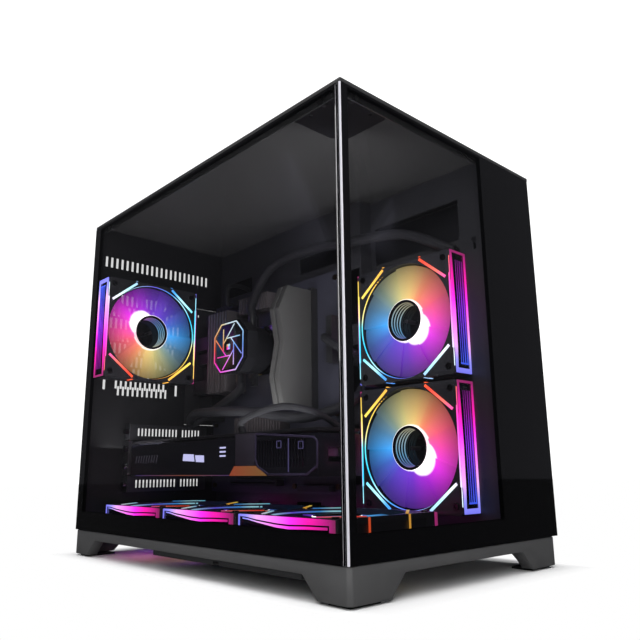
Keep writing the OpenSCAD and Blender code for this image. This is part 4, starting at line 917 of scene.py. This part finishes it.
pump_lines = pinwheel()
pump_lines.data.transform(cap_place)
pump_lines.data.materials.append(wheel_light("pump_glow", cap_place, PUMP_WHEEL, 1.7))
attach(pump_lines, "chassis")


# ---- Memory -------------------------------------------------------------------------------
# Two modules in satin grey heat spreaders with a wing-shaped upper edge, pushed into
# the board's nylon slots.
spreader = surface("spreader", (0.045, 0.045, 0.045), 0.6, depth=0.1, shine=0.3)
softened("ram_modules", "memory_spreaders", 0.5, spreader)


# ---- Graphics card ------------------------------------------------------------------------
# Three-fan card with a moulded shroud, an alloy backplate and a finned cooler inside. It
# stands in the board's slot, with its fans down and its marked edge towards the glass.
shroud_paint = surface("shroud_paint", (0.005, 0.0045, 0.009), 0.34, grain=900, depth=0.12)
softened("gpu_shroud", "card_shroud", 0.4, shroud_paint)
backplate_paint = surface("backplate_paint", (0.018, 0.017, 0.02), 0.4, metallic=0.4, grain=800)
softened("gpu_backplate", "card_backplate", 0.4, backplate_paint)
fin_alloy = surface("fin_alloy", (0.5, 0.5, 0.52), 0.32, metallic=1.0, depth=0.05)
dress(fin_alloy, "gpu_heatsink")
dress(port_shell, "gpu_bracket")

card_side = fan_place((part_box("gpu_shroud")[0].x / MM, 0, 0), (0, -1, 0), (0, 0, 1))


def on_card(piece, material):
    piece.data.transform(card_side)
    piece.data.materials.append(material)
    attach(piece, "chassis")


def glow(name, colour, strength):
    made, _, skin = lit(name, strength)
    skin.inputs["Emission Color"].default_value = (*colour, 1)
    return made


panel_paint = surface("panel_paint", (0.045, 0.038, 0.055), 0.4, grain=800, depth=0.1)
on_card(plate("card_panel", [(8.5, 94.2), (39.5, 94.2), (39.5, 124), (8.5, 124)], 0.5), panel_paint)
ember = run_light("card_ember", card_side, [(0.0, (0.50, 0.09, 0.035)), (1.0, (0.34, 0.17, 0.045))],
                  0.9, "X", (0, 58))
on_card(plate("card_accent", [(-1, 84.9), (58, 84.9), (41.5, 93.8), (7, 93.8)], 0.5), ember)
cover_line = [(40.5, 123), (121, 117), (125.5, 113), (125.5, 93), (112, 86), (60, 86), (43.5, 93.5),
              (40.5, 100), (40.5, 123)]
trim_paint = surface("trim_paint", (0.05, 0.04, 0.085), 0.4, grain=800, depth=0.1)
trim = [bar("trim", a, b, 2.0, 0.8) for a, b in zip(cover_line, cover_line[1:])]
on_card(joined("card_cover_trim", trim), trim_paint)
# The cover's line and squares are painted highlights that glow faint lilac.
square = [(-3, -3), (3, -3), (3, 3), (-3, 3), (-3, -3)]
marks = [bar("cover_line", (88, 88), (88, 117), 0.9, 0.7)]
for x, y in ((74.7, 112.2), (104.4, 110.8)):
    marks += [bar("cover_square", (x + a[0], y + a[1]), (x + b[0], y + b[1]), 0.7, 0.5)
              for a, b in zip(square, square[1:])]
on_card(joined("card_cover_marks", marks), glow("lilac_painted_highlight", (0.10, 0.085, 0.24), 0.9))
# The faint grey stripes on the shroud are painted highlights that glow on their own.
stripes = [bar("stripe", (x, 99.6), (x + 2.5, 107.8), 1.3, 0.4) for x in range(-192, -138, 6)]
on_card(joined("card_highlight_stripes", stripes), glow("grey_painted_highlight", (0.055, 0.05, 0.07), 0.9))
blocks = [plate("block", [(-87, 100.5), (-64, 99.4), (-66, 106.8), (-86, 107.6)], 0.4),
          plate("block", [(-61, 99.0), (-46, 98.4), (-46.5, 105.2), (-63, 105.8)], 0.4)]
dashes = [bar("dash", (-18, z), (-8, z), 1.6, 0.4) for z in (104, 108, 112)]
on_card(joined("card_lit_marks", blocks + dashes), glow("cool_white", (0.62, 0.62, 1.0), 1.6))
# Painted highlight: the glint along the shroud's seam is a thin line that glows purple, orange and
# purple along its length.
seam = run_light("card_seam_glint", card_side, [(0.0, (0.10, 0.06, 0.30)), (0.55, (0.45, 0.12, 0.06)),
                                                (1.0, (0.12, 0.06, 0.25))], 0.8, "X", (-190, 0))
on_card(bar("card_seam", (-190, 85.3), (0, 85.3), 0.7, 0.4), seam)
dress(black_nylon, "gpu_fan_rotor_1", "gpu_fan_rotor_2", "gpu_fan_rotor_3")
dress(powder_coat, "slot_covers")


# ---- Cooling loop and cables --------------------------------------------------------------
# Alloy radiator behind the side fans, joined to the pump by two sleeved rubber tubes,
# and the sleeved power cables.
dress(psu_coat, "radiator")
sleeve = surface("sleeve", (0.009, 0.009, 0.011), 0.6, grain=1500, depth=0.6, mottle=0.3)
dress(sleeve, "coolant_tubes", "power_cables")


# ---- Roof controls and screws -------------------------------------------------------------
# Nylon power and reset buttons in the roof, and the blackened zinc screws that hold the
# slot covers and the rear fan.
button_nylon = surface("button_nylon", (0.03, 0.03, 0.032), 0.4, grain=900, depth=0.1)
dress(button_nylon, "power_button", "reset_button")
black_zinc = surface("black_zinc", (0.09, 0.09, 0.1), 0.35, metallic=1.0, depth=0.1)
dress(black_zinc, "thumb_screws")
